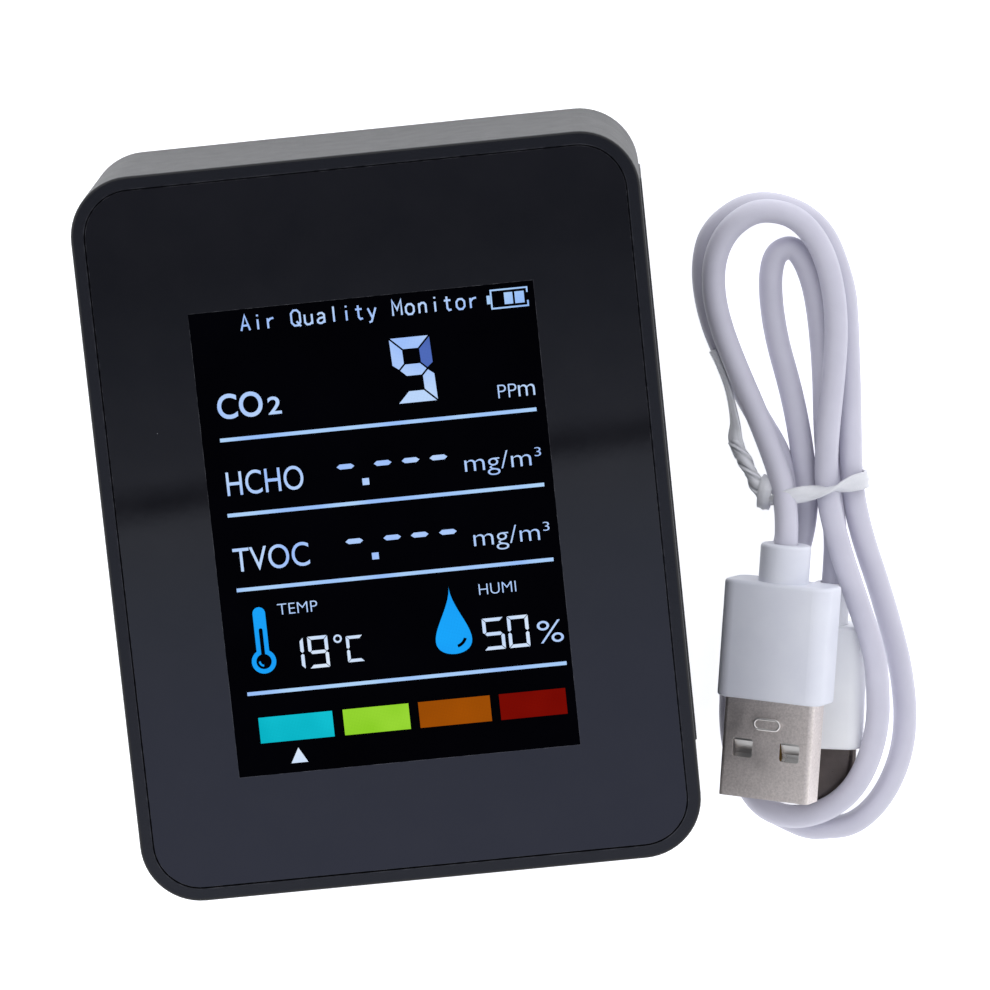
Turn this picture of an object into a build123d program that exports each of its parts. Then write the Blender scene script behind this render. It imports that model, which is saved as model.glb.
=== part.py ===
"""Pocket carbon dioxide and air quality monitor with its supplied USB lead.

The monitor lies on its back: +Z runs out of the screen, +Y to the top end of
the case, and the origin is the middle of the rear face. Sizes are in mm.
"""
from build123d import *
import os
from math import cos, radians, sin

os.makedirs("parts", exist_ok=True)

# ---- Driving dimensions: case ----
case_width = 70.0
case_height = 91.0
case_depth = 30.0
corner_radius = 7.5
wall = 2.0
rim_width = 1.6
front_wall_back = 26.7
pocket_depth = 1.8
panel_gap = 0.07
panel_thickness = 1.5
cover_thickness = 2.0
cover_gap = 0.25

# ---- Driving dimensions: screen ----
screen_width = 42.5
screen_height = 58.2
screen_centre = (-0.47, -1.26)
module_width = 50.2
module_height = 69.4
module_wall = 0.5
module_back = 24.4

# ---- Driving dimensions: boards, port and button ----
board_width = 63.0
board_height = 84.0
board_thickness = 1.6
board_back = 18.0
sensor_board_back = 12.8
port_y = -20.0
port_z = 16.4
button_y = 24.0
button_z = 15.0
button_length = 10.0
button_height = 4.0
button_proud = 0.2
vent_y = 2.75
vent_z = 14.0
vent_length = 71.0
vent_height = 18.0

# ---- Driving dimensions: USB lead ----
cord_diameter = 3.0
plug_a_back = Vector(48.05, -16.05, 9.8)
plug_a_heading = 9.6
plug_a_pitch = 3.0
plug_a_roll = 22.0
plug_c_back = Vector(53.6, -23.2, 2.85)
plug_c_heading = 8.0

# ---- Derived places ----
half_width = case_width / 2
inner_width = case_width - 2 * wall
inner_height = case_height - 2 * wall
inner_radius = corner_radius - wall
pocket_width = case_width - 2 * rim_width
pocket_height = case_height - 2 * rim_width
pocket_radius = corner_radius - rim_width
pocket_floor = case_depth - pocket_depth
panel_back = pocket_floor + 0.2
board_front = board_back + board_thickness
post_spots = [(x, y) for x in (-28.6, 28.6) for y in (-39.1, 39.1)]
boss_spots = [(x, y) for x in (-28.6, 28.6) for y in (-30.0, 30.0)]
left_side = Plane(origin=(-half_width, 0, 0), x_dir=(0, -1, 0), z_dir=(-1, 0, 0))
right_side = Plane(origin=(half_width, 0, 0), x_dir=(0, 1, 0), z_dir=(1, 0, 0))


# ---- Front housing: rim, side walls, front wall and screw posts in one moulding ----
post_radius = 4.2
boss_radius = 2.4
pilot_radius = 1.0
pilot_depth = 9.0
port_cut = (9.5, 3.7)
button_gap = 0.12
vent_window = (62.0, 12.5)
vent_recess = 1.0

with BuildPart() as front_housing:
    with BuildSketch():
        RectangleRounded(case_width, case_height, corner_radius)
    extrude(amount=case_depth)
    with BuildSketch():
        RectangleRounded(inner_width, inner_height, inner_radius)
    extrude(amount=front_wall_back, mode=Mode.SUBTRACT)
    with BuildSketch(Plane.XY.offset(pocket_floor)):
        RectangleRounded(pocket_width, pocket_height, pocket_radius)
    extrude(amount=pocket_depth, mode=Mode.SUBTRACT)
    with BuildSketch(Plane.XY.offset(front_wall_back)):
        with Locations(screen_centre):
            Rectangle(module_width + 0.6, module_height + 0.6)
    extrude(amount=pocket_depth, mode=Mode.SUBTRACT)
    with BuildSketch(Plane.XY.offset(cover_thickness)):
        with Locations(*post_spots):
            Circle(post_radius)
    extrude(amount=front_wall_back - cover_thickness)
    with BuildSketch(Plane.XY.offset(board_front)):
        with Locations(*boss_spots):
            Circle(boss_radius)
    extrude(amount=front_wall_back - board_front)
    with BuildSketch(Plane.XY.offset(cover_thickness)):
        with Locations(*post_spots):
            Circle(pilot_radius)
    extrude(amount=pilot_depth, mode=Mode.SUBTRACT)
    with BuildSketch(Plane.XY.offset(board_front)):
        with Locations(*boss_spots):
            Circle(pilot_radius)
    extrude(amount=5.0, mode=Mode.SUBTRACT)
    with BuildSketch(left_side):
        with Locations((-port_y, port_z)):
            SlotOverall(*port_cut)
        with Locations((-button_y, button_z)):
            SlotOverall(button_length + 2 * button_gap, button_height + 2 * button_gap)
    extrude(amount=-wall, mode=Mode.SUBTRACT)
    with BuildSketch(right_side):
        with Locations((vent_y, vent_z)):
            RectangleRounded(vent_length + 0.2, vent_height + 0.2, 1.0)
    extrude(amount=-vent_recess, mode=Mode.SUBTRACT)
    with BuildSketch(right_side):
        with Locations((vent_y, vent_z)):
            Rectangle(*vent_window)
    extrude(amount=-wall, mode=Mode.SUBTRACT)
    fillet(front_housing.faces().sort_by(Axis.Z)[-1].outer_wire().edges(), 0.35)
    chamfer(front_housing.faces().sort_by(Axis.Z)[0].outer_wire().edges(), 0.5)

front_housing.part.label = "front_housing"
export_step(front_housing.part, "parts/front_housing.step")


# ---- Front panel: printed acrylic sheet, its window and the tape that holds it ----
panel_width = pocket_width - 2 * panel_gap
panel_height = pocket_height - 2 * panel_gap

with BuildPart() as front_panel:
    with BuildSketch(Plane.XY.offset(panel_back)):
        RectangleRounded(panel_width, panel_height, pocket_radius - panel_gap)
        with Locations(screen_centre):
            Rectangle(screen_width, screen_height, mode=Mode.SUBTRACT)
    extrude(amount=panel_thickness)
    chamfer(front_panel.faces().sort_by(Axis.Z)[-1].outer_wire().edges(), 0.12)

front_panel.part.label = "front_panel"
export_step(front_panel.part, "parts/front_panel.step")

with BuildPart() as screen_window:
    with BuildSketch(Plane.XY.offset(panel_back)):
        with Locations(screen_centre):
            Rectangle(screen_width - 0.04, screen_height - 0.04)
    extrude(amount=panel_thickness - 0.06)

screen_window.part.label = "screen_window"
export_step(screen_window.part, "parts/screen_window.step")

with BuildPart() as panel_tape:
    with BuildSketch(Plane.XY.offset(pocket_floor)):
        RectangleRounded(panel_width - 0.6, panel_height - 0.6, pocket_radius - 0.5)
        with Locations(screen_centre):
            Rectangle(module_width + 1.2, module_height + 1.2, mode=Mode.SUBTRACT)
    extrude(amount=panel_back - pocket_floor)

panel_tape.part.label = "panel_tape"
export_step(panel_tape.part, "parts/panel_tape.step")


# ---- Display module: tray, backlight, glass, ribbon and its connector ----
glass_width = module_width - 2 * module_wall - 0.2
glass_height = module_height - 2 * module_wall - 0.2
glass_back = 26.9
ribbon_width = 20.0
ribbon_thickness = 0.2
ribbon_z = 25.9
ribbon_low_z = 20.5
ribbon_start_y = screen_centre[1] - glass_height / 2 + 0.5
ribbon_turn_y = screen_centre[1] - module_height / 2 - 2.0

with BuildPart() as lcd_frame:
    with BuildSketch(Plane.XY.offset(module_back)):
        with Locations(screen_centre):
            Rectangle(module_width, module_height)
    extrude(amount=pocket_floor - module_back)
    with BuildSketch(Plane.XY.offset(module_back + 0.4)):
        with Locations(screen_centre):
            Rectangle(module_width - 2 * module_wall, module_height - 2 * module_wall)
    extrude(amount=pocket_floor - module_back, mode=Mode.SUBTRACT)
    with BuildSketch(Plane.XY.offset(ribbon_z - 0.4)):
        with Locations((screen_centre[0], screen_centre[1] - module_height / 2)):
            Rectangle(ribbon_width + 1.0, 3.0)
    extrude(amount=0.9, mode=Mode.SUBTRACT)

lcd_frame.part.label = "lcd_frame"
export_step(lcd_frame.part, "parts/lcd_frame.step")

with BuildPart() as backlight:
    with BuildSketch(Plane.XY.offset(module_back + 0.45)):
        with Locations((screen_centre[0], screen_centre[1] + 0.6)):
            Rectangle(glass_width, glass_height - 1.2)
    extrude(amount=glass_back - module_back - 0.55)

backlight.part.label = "backlight"
export_step(backlight.part, "parts/backlight.step")

with BuildPart() as lcd_glass:
    with BuildSketch(Plane.XY.offset(glass_back)):
        with Locations(screen_centre):
            Rectangle(glass_width, glass_height)
    extrude(amount=pocket_floor - glass_back)
    chamfer(lcd_glass.edges().filter_by(Axis.Z), 0.4)

lcd_glass.part.label = "lcd_glass"
export_step(lcd_glass.part, "parts/lcd_glass.step")

ribbon_plane = Plane(origin=(screen_centre[0], 0, 0), x_dir=(0, 1, 0), z_dir=(1, 0, 0))
ribbon_bend = (ribbon_z - ribbon_low_z) / 2
with BuildPart() as display_flex:
    with BuildSketch(ribbon_plane):
        with BuildLine():
            out = Line((ribbon_start_y, ribbon_z), (ribbon_turn_y, ribbon_z))
            bend = JernArc(start=out @ 1, tangent=(-1, 0), radius=ribbon_bend, arc_size=180)
            Line(bend @ 1, (ribbon_turn_y + 5.0, ribbon_low_z))
            offset(amount=ribbon_thickness / 2, kind=Kind.INTERSECTION)
        make_face()
    extrude(amount=ribbon_width / 2, both=True)

display_flex.part.label = "display_flex"
export_step(display_flex.part, "parts/display_flex.step")

with BuildPart() as display_connector:
    with BuildSketch(Plane.XY.offset(board_front)):
        with Locations((screen_centre[0], ribbon_turn_y + 7.2)):
            Rectangle(ribbon_width + 3.0, 4.0)
    extrude(amount=1.9)
    chamfer(display_connector.faces().sort_by(Axis.Z)[-1].edges(), 0.3)

display_connector.part.label = "display_connector"
export_step(display_connector.part, "parts/display_connector.step")


# ---- Main board with its chips, small parts and screws ----
post_notch = 9.0

with BuildPart() as main_board:
    with BuildSketch(Plane.XY.offset(board_back)):
        Rectangle(board_width, board_height)
        with GridLocations(board_width, board_height, 2, 2):
            Rectangle(2 * post_notch, 2 * post_notch, mode=Mode.SUBTRACT)
        with Locations(*boss_spots):
            Circle(1.1, mode=Mode.SUBTRACT)
    extrude(amount=board_thickness)

main_board.part.label = "main_board"
export_step(main_board.part, "parts/main_board.step")

chip_size = 9.0
chip_height = 1.2
chip_spot = (10.0, -8.0)
pin_pitch = 0.8
pins_per_side = 9

with BuildPart() as main_chip:
    with BuildSketch(Plane.XY.offset(board_back)):
        with Locations(chip_spot):
            Rectangle(chip_size, chip_size)
    extrude(amount=-chip_height)
    chamfer(main_chip.faces().sort_by(Axis.Z)[0].edges(), 0.25)
    with BuildSketch(Plane.XY.offset(board_back)):
        with Locations(chip_spot):
            with GridLocations(chip_size + 1.0, pin_pitch, 2, pins_per_side):
                Rectangle(1.2, 0.4)
            with GridLocations(pin_pitch, chip_size + 1.0, pins_per_side, 2):
                Rectangle(0.4, 1.2)
    extrude(amount=-0.5)

main_chip.part.label = "main_chip"
export_step(main_chip.part, "parts/main_chip.step")

with BuildPart() as board_parts:
    with BuildSketch(Plane.XY.offset(board_back)):
        with Locations((-12.0, -30.0)):
            RectangleRounded(6.0, 6.0, 1.2)
    extrude(amount=-3.0)
    with BuildSketch(Plane.XY.offset(board_back)):
        with Locations((-2.0, -31.0), (4.0, -31.0)):
            Circle(2.0)
    extrude(amount=-4.5)
    with BuildSketch(Plane.XY.offset(board_back)):
        with Locations((-14.0, -8.0)):
            with GridLocations(4.0, 3.4, 3, 4):
                Rectangle(2.0, 1.25)
        with Locations((-16.0, -20.0), (22.0, -24.0)):
            Rectangle(5.0, 4.0)
    extrude(amount=-1.1)

board_parts.part.label = "board_parts"
export_step(board_parts.part, "parts/board_parts.step")

with BuildPart() as board_screws:
    with BuildSketch(Plane.XY.offset(board_back)):
        with Locations(*boss_spots):
            Circle(1.9)
    extrude(amount=-1.3)
    fillet(board_screws.faces().group_by(Axis.Z)[0].edges(), 0.4)
    with BuildSketch(Plane.XY.offset(board_back - 1.3)):
        with Locations(*boss_spots):
            Rectangle(2.2, 0.45)
            Rectangle(0.45, 2.2)
    extrude(amount=0.7, mode=Mode.SUBTRACT)
    with BuildSketch(Plane.XY.offset(board_back)):
        with Locations(*boss_spots):
            Circle(pilot_radius - 0.06)
    extrude(amount=board_thickness + 4.0)

board_screws.part.label = "board_screws"
export_step(board_screws.part, "parts/board_screws.step")


# ---- Charging socket in the left wall ----
socket_plane = left_side.offset(-0.7)
socket_width = 8.94
socket_height = 3.2
socket_length = 7.3

with BuildPart() as usb_socket:
    with BuildSketch(socket_plane):
        with Locations((-port_y, port_z)):
            SlotOverall(socket_width, socket_height)
            SlotOverall(socket_width - 0.6, socket_height - 0.6, mode=Mode.SUBTRACT)
    extrude(amount=-socket_length)

usb_socket.part.label = "usb_socket"
export_step(usb_socket.part, "parts/usb_socket.step")

with BuildPart() as usb_socket_core:
    with BuildSketch(socket_plane.offset(1.6 - socket_length)):
        with Locations((-port_y, port_z)):
            SlotOverall(socket_width - 0.6, socket_height - 0.6)
    extrude(amount=-1.6)
    with BuildSketch(socket_plane.offset(-0.9)):
        with Locations((-port_y, port_z)):
            Rectangle(6.7, 0.7)
    extrude(amount=2.5 - socket_length)

usb_socket_core.part.label = "usb_socket_core"
export_step(usb_socket_core.part, "parts/usb_socket_core.step")


# ---- Power button with the switch behind it ----
button_face = left_side.offset(button_proud)
flange_front = left_side.offset(0.1 - wall - 0.15)
plunger_radius = 1.2

with BuildPart() as power_button:
    with BuildSketch(button_face):
        with Locations((-button_y, button_z)):
            SlotOverall(button_length, button_height)
    extrude(amount=-button_proud - wall - 0.1)
    fillet(power_button.faces().sort_by(Axis.X)[0].edges(), 0.3)
    with BuildSketch(flange_front):
        with Locations((-button_y, button_z)):
            SlotOverall(button_length + 2.4, button_height + 1.2)
    extrude(amount=-0.7)
    with BuildSketch(flange_front.offset(-0.7)):
        with Locations((-button_y, button_z)):
            Circle(1.5)
    extrude(amount=-0.35)

power_button.part.label = "power_button"
export_step(power_button.part, "parts/power_button.step")

plunger_plane = flange_front.offset(-1.05)
with BuildPart() as switch_plunger:
    with BuildSketch(plunger_plane):
        with Locations((-button_y, button_z)):
            Circle(plunger_radius)
    extrude(amount=-2.6)

switch_plunger.part.label = "switch_plunger"
export_step(switch_plunger.part, "parts/switch_plunger.step")

switch_front = plunger_plane.offset(-1.1)
with BuildPart() as power_switch:
    with BuildSketch(switch_front):
        with Locations((-button_y, (board_back + 12.9) / 2)):
            Rectangle(6.2, board_back - 12.9)
    extrude(amount=-3.8)
    chamfer(power_switch.edges().filter_by(Axis.X), 0.3)
    with BuildSketch(switch_front):
        with Locations((-button_y, button_z)):
            Circle(plunger_radius + 0.08)
    extrude(amount=-3.0, mode=Mode.SUBTRACT)

power_switch.part.label = "power_switch"
export_step(power_switch.part, "parts/power_switch.step")


# ---- Side grille with the dust mesh behind it ----
vent_proud = 0.2
vent_slots = 15
vent_pitch = 4.1

with BuildPart() as vent_panel:
    with BuildSketch(right_side.offset(vent_proud)):
        with Locations((vent_y, vent_z)):
            RectangleRounded(vent_length, vent_height, 0.9)
            with GridLocations(vent_pitch, 1, vent_slots, 1):
                SlotOverall(11.5, 2.0, rotation=90, mode=Mode.SUBTRACT)
    extrude(amount=-vent_recess - vent_proud)
    chamfer(vent_panel.faces().sort_by(Axis.X)[-1].outer_wire().edges(), 0.12)

vent_panel.part.label = "vent_panel"
export_step(vent_panel.part, "parts/vent_panel.step")

with BuildPart() as dust_mesh:
    with BuildSketch(right_side.offset(-wall)):
        with Locations((vent_y, vent_z)):
            Rectangle(vent_window[0] + 3.0, vent_window[1] + 2.5)
    extrude(amount=-0.3)

dust_mesh.part.label = "dust_mesh"
export_step(dust_mesh.part, "parts/dust_mesh.step")


# ---- Sensor board and the sensors that it carries ----
sensor_board_centre = (0.0, 18.0)
sensor_board_size = (46.0, 33.0)
sensor_board_thickness = 1.2
sensor_plane = Plane.XY.offset(sensor_board_back)

with BuildPart() as sensor_board:
    with BuildSketch(sensor_plane):
        with Locations(sensor_board_centre):
            RectangleRounded(*sensor_board_size, 1.0)
    extrude(amount=sensor_board_thickness)

sensor_board.part.label = "sensor_board"
export_step(sensor_board.part, "parts/sensor_board.step")

with BuildPart() as board_header:
    with BuildSketch(Plane.XY.offset(sensor_board_back + sensor_board_thickness)):
        with Locations((0.0, 32.4)):
            Rectangle(25.4, 2.5)
            with GridLocations(2.54, 1, 9, 1):
                Rectangle(0.5, 2.5, mode=Mode.SUBTRACT)
        with Locations((0.0, 32.4)):
            Rectangle(25.4, 1.4)
    extrude(amount=board_back - sensor_board_back - sensor_board_thickness)

board_header.part.label = "board_header"
export_step(board_header.part, "parts/board_header.step")

with BuildPart() as co2_sensor:
    with BuildSketch(sensor_plane):
        with Locations((-11.0, 21.0)):
            RectangleRounded(20.0, 16.0, 2.0)
    extrude(amount=-7.0)
    fillet(co2_sensor.faces().sort_by(Axis.Z)[0].edges(), 0.8)
    with BuildSketch(sensor_plane.offset(-7.0)):
        with Locations((-11.0, 21.0)):
            with GridLocations(4.0, 1, 4, 1):
                SlotOverall(9.0, 1.6, rotation=90)
    extrude(amount=1.0, mode=Mode.SUBTRACT)

co2_sensor.part.label = "co2_sensor"
export_step(co2_sensor.part, "parts/co2_sensor.step")


def sensor_can(centre, radius, height, mouth_radius):
    """Round sensor can hanging from the sensor board, with a dished mouth."""
    with BuildPart() as can:
        with BuildSketch(sensor_plane):
            with Locations(centre):
                Circle(radius + 0.5)
        extrude(amount=-0.6)
        with BuildSketch(sensor_plane):
            with Locations(centre):
                Circle(radius)
        extrude(amount=-height)
        fillet(can.faces().sort_by(Axis.Z)[0].edges(), 0.6)
        with BuildSketch(sensor_plane.offset(-height)):
            with Locations(centre):
                Circle(mouth_radius)
        extrude(amount=0.8, mode=Mode.SUBTRACT)
    return can


tvoc_sensor = sensor_can(centre=(7.0, 27.0), radius=4.6, height=6.0, mouth_radius=2.6)
tvoc_sensor.part.label = "tvoc_sensor"
export_step(tvoc_sensor.part, "parts/tvoc_sensor.step")

hcho_sensor = sensor_can(centre=(15.4, 11.0), radius=6.8, height=7.0, mouth_radius=3.4)
hcho_sensor.part.label = "hcho_sensor"
export_step(hcho_sensor.part, "parts/hcho_sensor.step")

with BuildPart() as temp_humidity_sensor:
    with BuildSketch(sensor_plane):
        with Locations((18.0, 28.0)):
            Rectangle(8.0, 6.0)
    extrude(amount=-3.2)
    chamfer(temp_humidity_sensor.faces().sort_by(Axis.Z)[0].edges(), 0.4)
    with BuildSketch(sensor_plane.offset(-3.2)):
        with Locations((18.0, 28.0)):
            with GridLocations(1.8, 1.6, 4, 3):
                Rectangle(1.1, 0.9)
    extrude(amount=0.6, mode=Mode.SUBTRACT)

temp_humidity_sensor.part.label = "temp_humidity_sensor"
export_step(temp_humidity_sensor.part, "parts/temp_humidity_sensor.step")


# ---- Battery with its foam pad, leads and connector ----
battery_size = (50.0, 30.0)
battery_centre = (0.0, -19.5)
battery_back = cover_thickness + 0.8
battery_thickness = 8.0
plug_spot = (-28.2, 4.0)
lead_diameter = 1.2

with BuildPart() as battery_pad:
    with BuildSketch(Plane.XY.offset(cover_thickness)):
        with Locations(battery_centre):
            RectangleRounded(battery_size[0] - 6.0, battery_size[1] - 8.0, 2.0)
    extrude(amount=battery_back - cover_thickness)

battery_pad.part.label = "battery_pad"
export_step(battery_pad.part, "parts/battery_pad.step")

with BuildPart() as battery:
    with BuildSketch(Plane.XY.offset(battery_back)):
        with Locations(battery_centre):
            RectangleRounded(*battery_size, 2.0)
    extrude(amount=battery_thickness)
    fillet(battery.faces().sort_by(Axis.Z)[-1].edges(), 1.2)
    fillet(battery.faces().sort_by(Axis.Z)[0].edges(), 1.2)

battery.part.label = "battery"
export_step(battery.part, "parts/battery.step")

with BuildPart() as battery_header:
    with BuildSketch(Plane.XY.offset(12.5)):
        with Locations(plug_spot):
            Rectangle(5.6, 8.0)
    extrude(amount=board_back - 12.5)
    with BuildSketch(Plane.XY.offset(12.5)):
        with Locations(plug_spot):
            Rectangle(4.2, 6.6)
    extrude(amount=3.6, mode=Mode.SUBTRACT)

battery_header.part.label = "battery_header"
export_step(battery_header.part, "parts/battery_header.step")

with BuildPart() as battery_plug:
    with BuildSketch(Plane.XY.offset(9.6)):
        with Locations(plug_spot):
            Rectangle(4.0, 6.4)
    extrude(amount=6.3)
    chamfer(battery_plug.faces().sort_by(Axis.Z)[0].edges(), 0.3)

battery_plug.part.label = "battery_plug"
export_step(battery_plug.part, "parts/battery_plug.step")


def battery_lead(battery_x, plug_y, height):
    """One insulated wire from the battery's top edge round to the plug."""
    battery_edge_y = battery_centre[1] + battery_size[1] / 2
    with BuildPart() as lead:
        with BuildLine():
            route = FilletPolyline(
                (battery_x, battery_edge_y, height),
                (battery_x, battery_edge_y + 3.4, height),
                (plug_spot[0] + 3.5, plug_y, height - 1.2),
                (plug_spot[0], plug_y, height - 1.2),
                (plug_spot[0], plug_y, 9.6),
                radius=1.4,
            )
        with BuildSketch(Plane(origin=route @ 0, z_dir=route % 0)):
            Circle(lead_diameter / 2)
        sweep()
    return lead


battery_lead_red = battery_lead(battery_x=-19.0, plug_y=5.2, height=7.6)
battery_lead_red.part.label = "battery_lead_red"
export_step(battery_lead_red.part, "parts/battery_lead_red.step")

battery_lead_black = battery_lead(battery_x=-22.0, plug_y=2.8, height=7.6)
battery_lead_black.part.label = "battery_lead_black"
export_step(battery_lead_black.part, "parts/battery_lead_black.step")


# ---- Rear cover with its air slots, battery ribs and screws ----
cover_width = inner_width - 2 * cover_gap
cover_height = inner_height - 2 * cover_gap
slot_size = (20.0, 1.8)
slot_pitch = 3.6
slot_rows = 9
slot_field = (0.0, 21.0)
slot_column_pitch = 24.0
screw_head_radius = 1.9
head_recess = 1.3
rib_thickness = 1.0
rib_height = 4.0

with BuildPart() as rear_cover:
    with BuildSketch():
        RectangleRounded(cover_width, cover_height, inner_radius - cover_gap)
        with Locations(slot_field):
            with GridLocations(slot_column_pitch, slot_pitch, 2, slot_rows):
                SlotOverall(*slot_size, mode=Mode.SUBTRACT)
        with Locations(*post_spots):
            Circle(pilot_radius + 0.15, mode=Mode.SUBTRACT)
    extrude(amount=cover_thickness)
    with BuildSketch():
        with Locations(*post_spots):
            Circle(screw_head_radius + 0.2)
    extrude(amount=head_recess, mode=Mode.SUBTRACT)
    with BuildSketch(Plane.XY.offset(cover_thickness)):
        with Locations(battery_centre):
            with GridLocations(battery_size[0] + 1.6, 16.0, 2, 2):
                Rectangle(rib_thickness, 7.0)
            with GridLocations(26.0, battery_size[1] + 1.6, 2, 2):
                Rectangle(9.0, rib_thickness)
    extrude(amount=rib_height)
    chamfer(rear_cover.faces().sort_by(Axis.Z)[0].outer_wire().edges(), 0.3)

rear_cover.part.label = "rear_cover"
export_step(rear_cover.part, "parts/rear_cover.step")

with BuildPart() as rear_screws:
    with BuildSketch(Plane.XY.offset(0.15)):
        with Locations(*post_spots):
            Circle(screw_head_radius)
    extrude(amount=head_recess - 0.15)
    fillet(rear_screws.faces().group_by(Axis.Z)[0].edges(), 0.3)
    with BuildSketch(Plane.XY.offset(0.15)):
        with Locations(*post_spots):
            Rectangle(2.3, 0.5)
            Rectangle(0.5, 2.3)
    extrude(amount=0.7, mode=Mode.SUBTRACT)
    with BuildSketch(Plane.XY.offset(head_recess)):
        with Locations(*post_spots):
            Circle(pilot_radius - 0.06)
    extrude(amount=7.5)

rear_screws.part.label = "rear_screws"
export_step(rear_screws.part, "parts/rear_screws.step")


# ---- USB-A plug: overmould, neck, steel shell, insulator and contacts ----
def plug_plane(back, heading, pitch, roll):
    """Plane across a plug: +Z runs to its tip and +Y is its upper face."""
    turn = radians(heading)
    rise = radians(pitch)
    tip = Vector(-sin(turn) * cos(rise), -cos(turn) * cos(rise), sin(rise))
    side = Vector(cos(turn), -sin(turn), 0)
    across = side.rotate(Axis((0, 0, 0), tip), roll)
    return Plane(origin=back, x_dir=across, z_dir=tip)


a_plane = plug_plane(plug_a_back, plug_a_heading, plug_a_pitch, plug_a_roll)
a_axis = Axis(plug_a_back, a_plane.z_dir)
a_housing = (14.2, 7.2)
a_housing_length = 15.0
a_neck_radius = 3.2
a_neck_length = 4.8
a_shell = (12.0, 4.5)
a_shell_wall = 0.3
a_shell_set_in = 2.0
a_shell_length = 14.7
a_shell_start = a_housing_length - a_shell_set_in
a_tip = a_shell_start + a_shell_length
cord_hole_radius = cord_diameter / 2 + 0.05

with BuildPart() as usb_a_housing:
    with BuildSketch(a_plane):
        RectangleRounded(*a_housing, 1.9)
    extrude(amount=a_housing_length)
    fillet(usb_a_housing.faces().sort_by(a_axis)[0].edges(), 0.5)
    fillet(usb_a_housing.faces().sort_by(a_axis)[-1].edges(), 0.4)
    with BuildSketch(a_plane.offset(a_shell_start)):
        Rectangle(a_shell[0] + 0.04, a_shell[1] + 0.04)
    extrude(amount=a_shell_set_in + 0.1, mode=Mode.SUBTRACT)

usb_a_housing.part.label = "usb_a_housing"
export_step(usb_a_housing.part, "parts/usb_a_housing.step")

with BuildPart() as usb_a_relief:
    with BuildSketch(a_plane):
        Circle(a_neck_radius)
    extrude(amount=-a_neck_length)
    fillet(usb_a_relief.faces().sort_by(a_axis)[0].edges(), 0.4)
    with BuildSketch(a_plane.offset(-a_neck_length)):
        Circle(cord_hole_radius)
    extrude(amount=a_neck_length - 1.0, mode=Mode.SUBTRACT)

usb_a_relief.part.label = "usb_a_relief"
export_step(usb_a_relief.part, "parts/usb_a_relief.step")

with BuildPart() as usb_a_shell:
    with BuildSketch(a_plane.offset(a_shell_start)):
        RectangleRounded(*a_shell, 0.6)
        Rectangle(
            a_shell[0] - 2 * a_shell_wall,
            a_shell[1] - 2 * a_shell_wall,
            mode=Mode.SUBTRACT,
        )
    extrude(amount=a_shell_length)
    latch_plane = Plane(
        origin=a_plane.from_local_coords((0, a_shell[1] / 2, 0)),
        x_dir=a_plane.x_dir,
        z_dir=a_plane.y_dir,
    )
    with BuildSketch(latch_plane):
        with Locations((0, -a_tip + 6.3)):
            with GridLocations(6.3, 1, 2, 1):
                RectangleRounded(2.7, 2.4, 0.35)
    extrude(amount=-a_shell[1], mode=Mode.SUBTRACT)
    with BuildSketch(latch_plane):
        with Locations((0, -a_housing_length - 3.1)):
            SlotOverall(3.4, 1.3)
    extrude(amount=0.25)

usb_a_shell.part.label = "usb_a_shell"
export_step(usb_a_shell.part, "parts/usb_a_shell.step")

with BuildPart() as usb_a_insulator:
    with BuildSketch(a_plane.offset(a_shell_start)):
        with Locations((0, -0.95)):
            Rectangle(11.3, 1.9)
    extrude(amount=a_shell_length - 0.4)
    with BuildSketch(a_plane.offset(a_shell_start)):
        Rectangle(11.3, 3.8)
    extrude(amount=3.0)

usb_a_insulator.part.label = "usb_a_insulator"
export_step(usb_a_insulator.part, "parts/usb_a_insulator.step")

with BuildPart() as usb_a_contacts:
    with BuildSketch(a_plane.offset(a_shell_start + 3.2)):
        with Locations((0, 0.1)):
            with Locations((-3.5, 0), (-1.0, 0), (1.0, 0), (3.5, 0)):
                Rectangle(1.0, 0.18)
    extrude(amount=a_shell_length - 4.6)

usb_a_contacts.part.label = "usb_a_contacts"
export_step(usb_a_contacts.part, "parts/usb_a_contacts.step")


# ---- USB-C plug on the other end ----
c_plane = plug_plane(plug_c_back, plug_c_heading, 0, 0)
c_axis = Axis(plug_c_back, c_plane.z_dir)
c_housing = (9.8, 5.6)
c_housing_length = 16.0
c_neck_radius = 2.3
c_neck_length = 5.3
c_shell = (8.25, 2.4)
c_shell_set_in = 2.0
c_shell_length = 9.2
c_shell_start = c_housing_length - c_shell_set_in

with BuildPart() as usb_c_housing:
    with BuildSketch(c_plane):
        RectangleRounded(*c_housing, 2.3)
    extrude(amount=c_housing_length)
    fillet(usb_c_housing.faces().sort_by(c_axis)[0].edges(), 0.5)
    fillet(usb_c_housing.faces().sort_by(c_axis)[-1].edges(), 0.4)
    with BuildSketch(c_plane.offset(c_shell_start)):
        SlotOverall(c_shell[0] + 0.04, c_shell[1] + 0.04)
    extrude(amount=c_shell_set_in + 0.1, mode=Mode.SUBTRACT)

usb_c_housing.part.label = "usb_c_housing"
export_step(usb_c_housing.part, "parts/usb_c_housing.step")

with BuildPart() as usb_c_relief:
    with BuildSketch(c_plane):
        Circle(c_neck_radius)
    extrude(amount=-c_neck_length)
    fillet(usb_c_relief.faces().sort_by(c_axis)[0].edges(), 0.4)
    with BuildSketch(c_plane.offset(-c_neck_length)):
        Circle(cord_hole_radius)
    extrude(amount=c_neck_length - 1.0, mode=Mode.SUBTRACT)

usb_c_relief.part.label = "usb_c_relief"
export_step(usb_c_relief.part, "parts/usb_c_relief.step")

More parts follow.
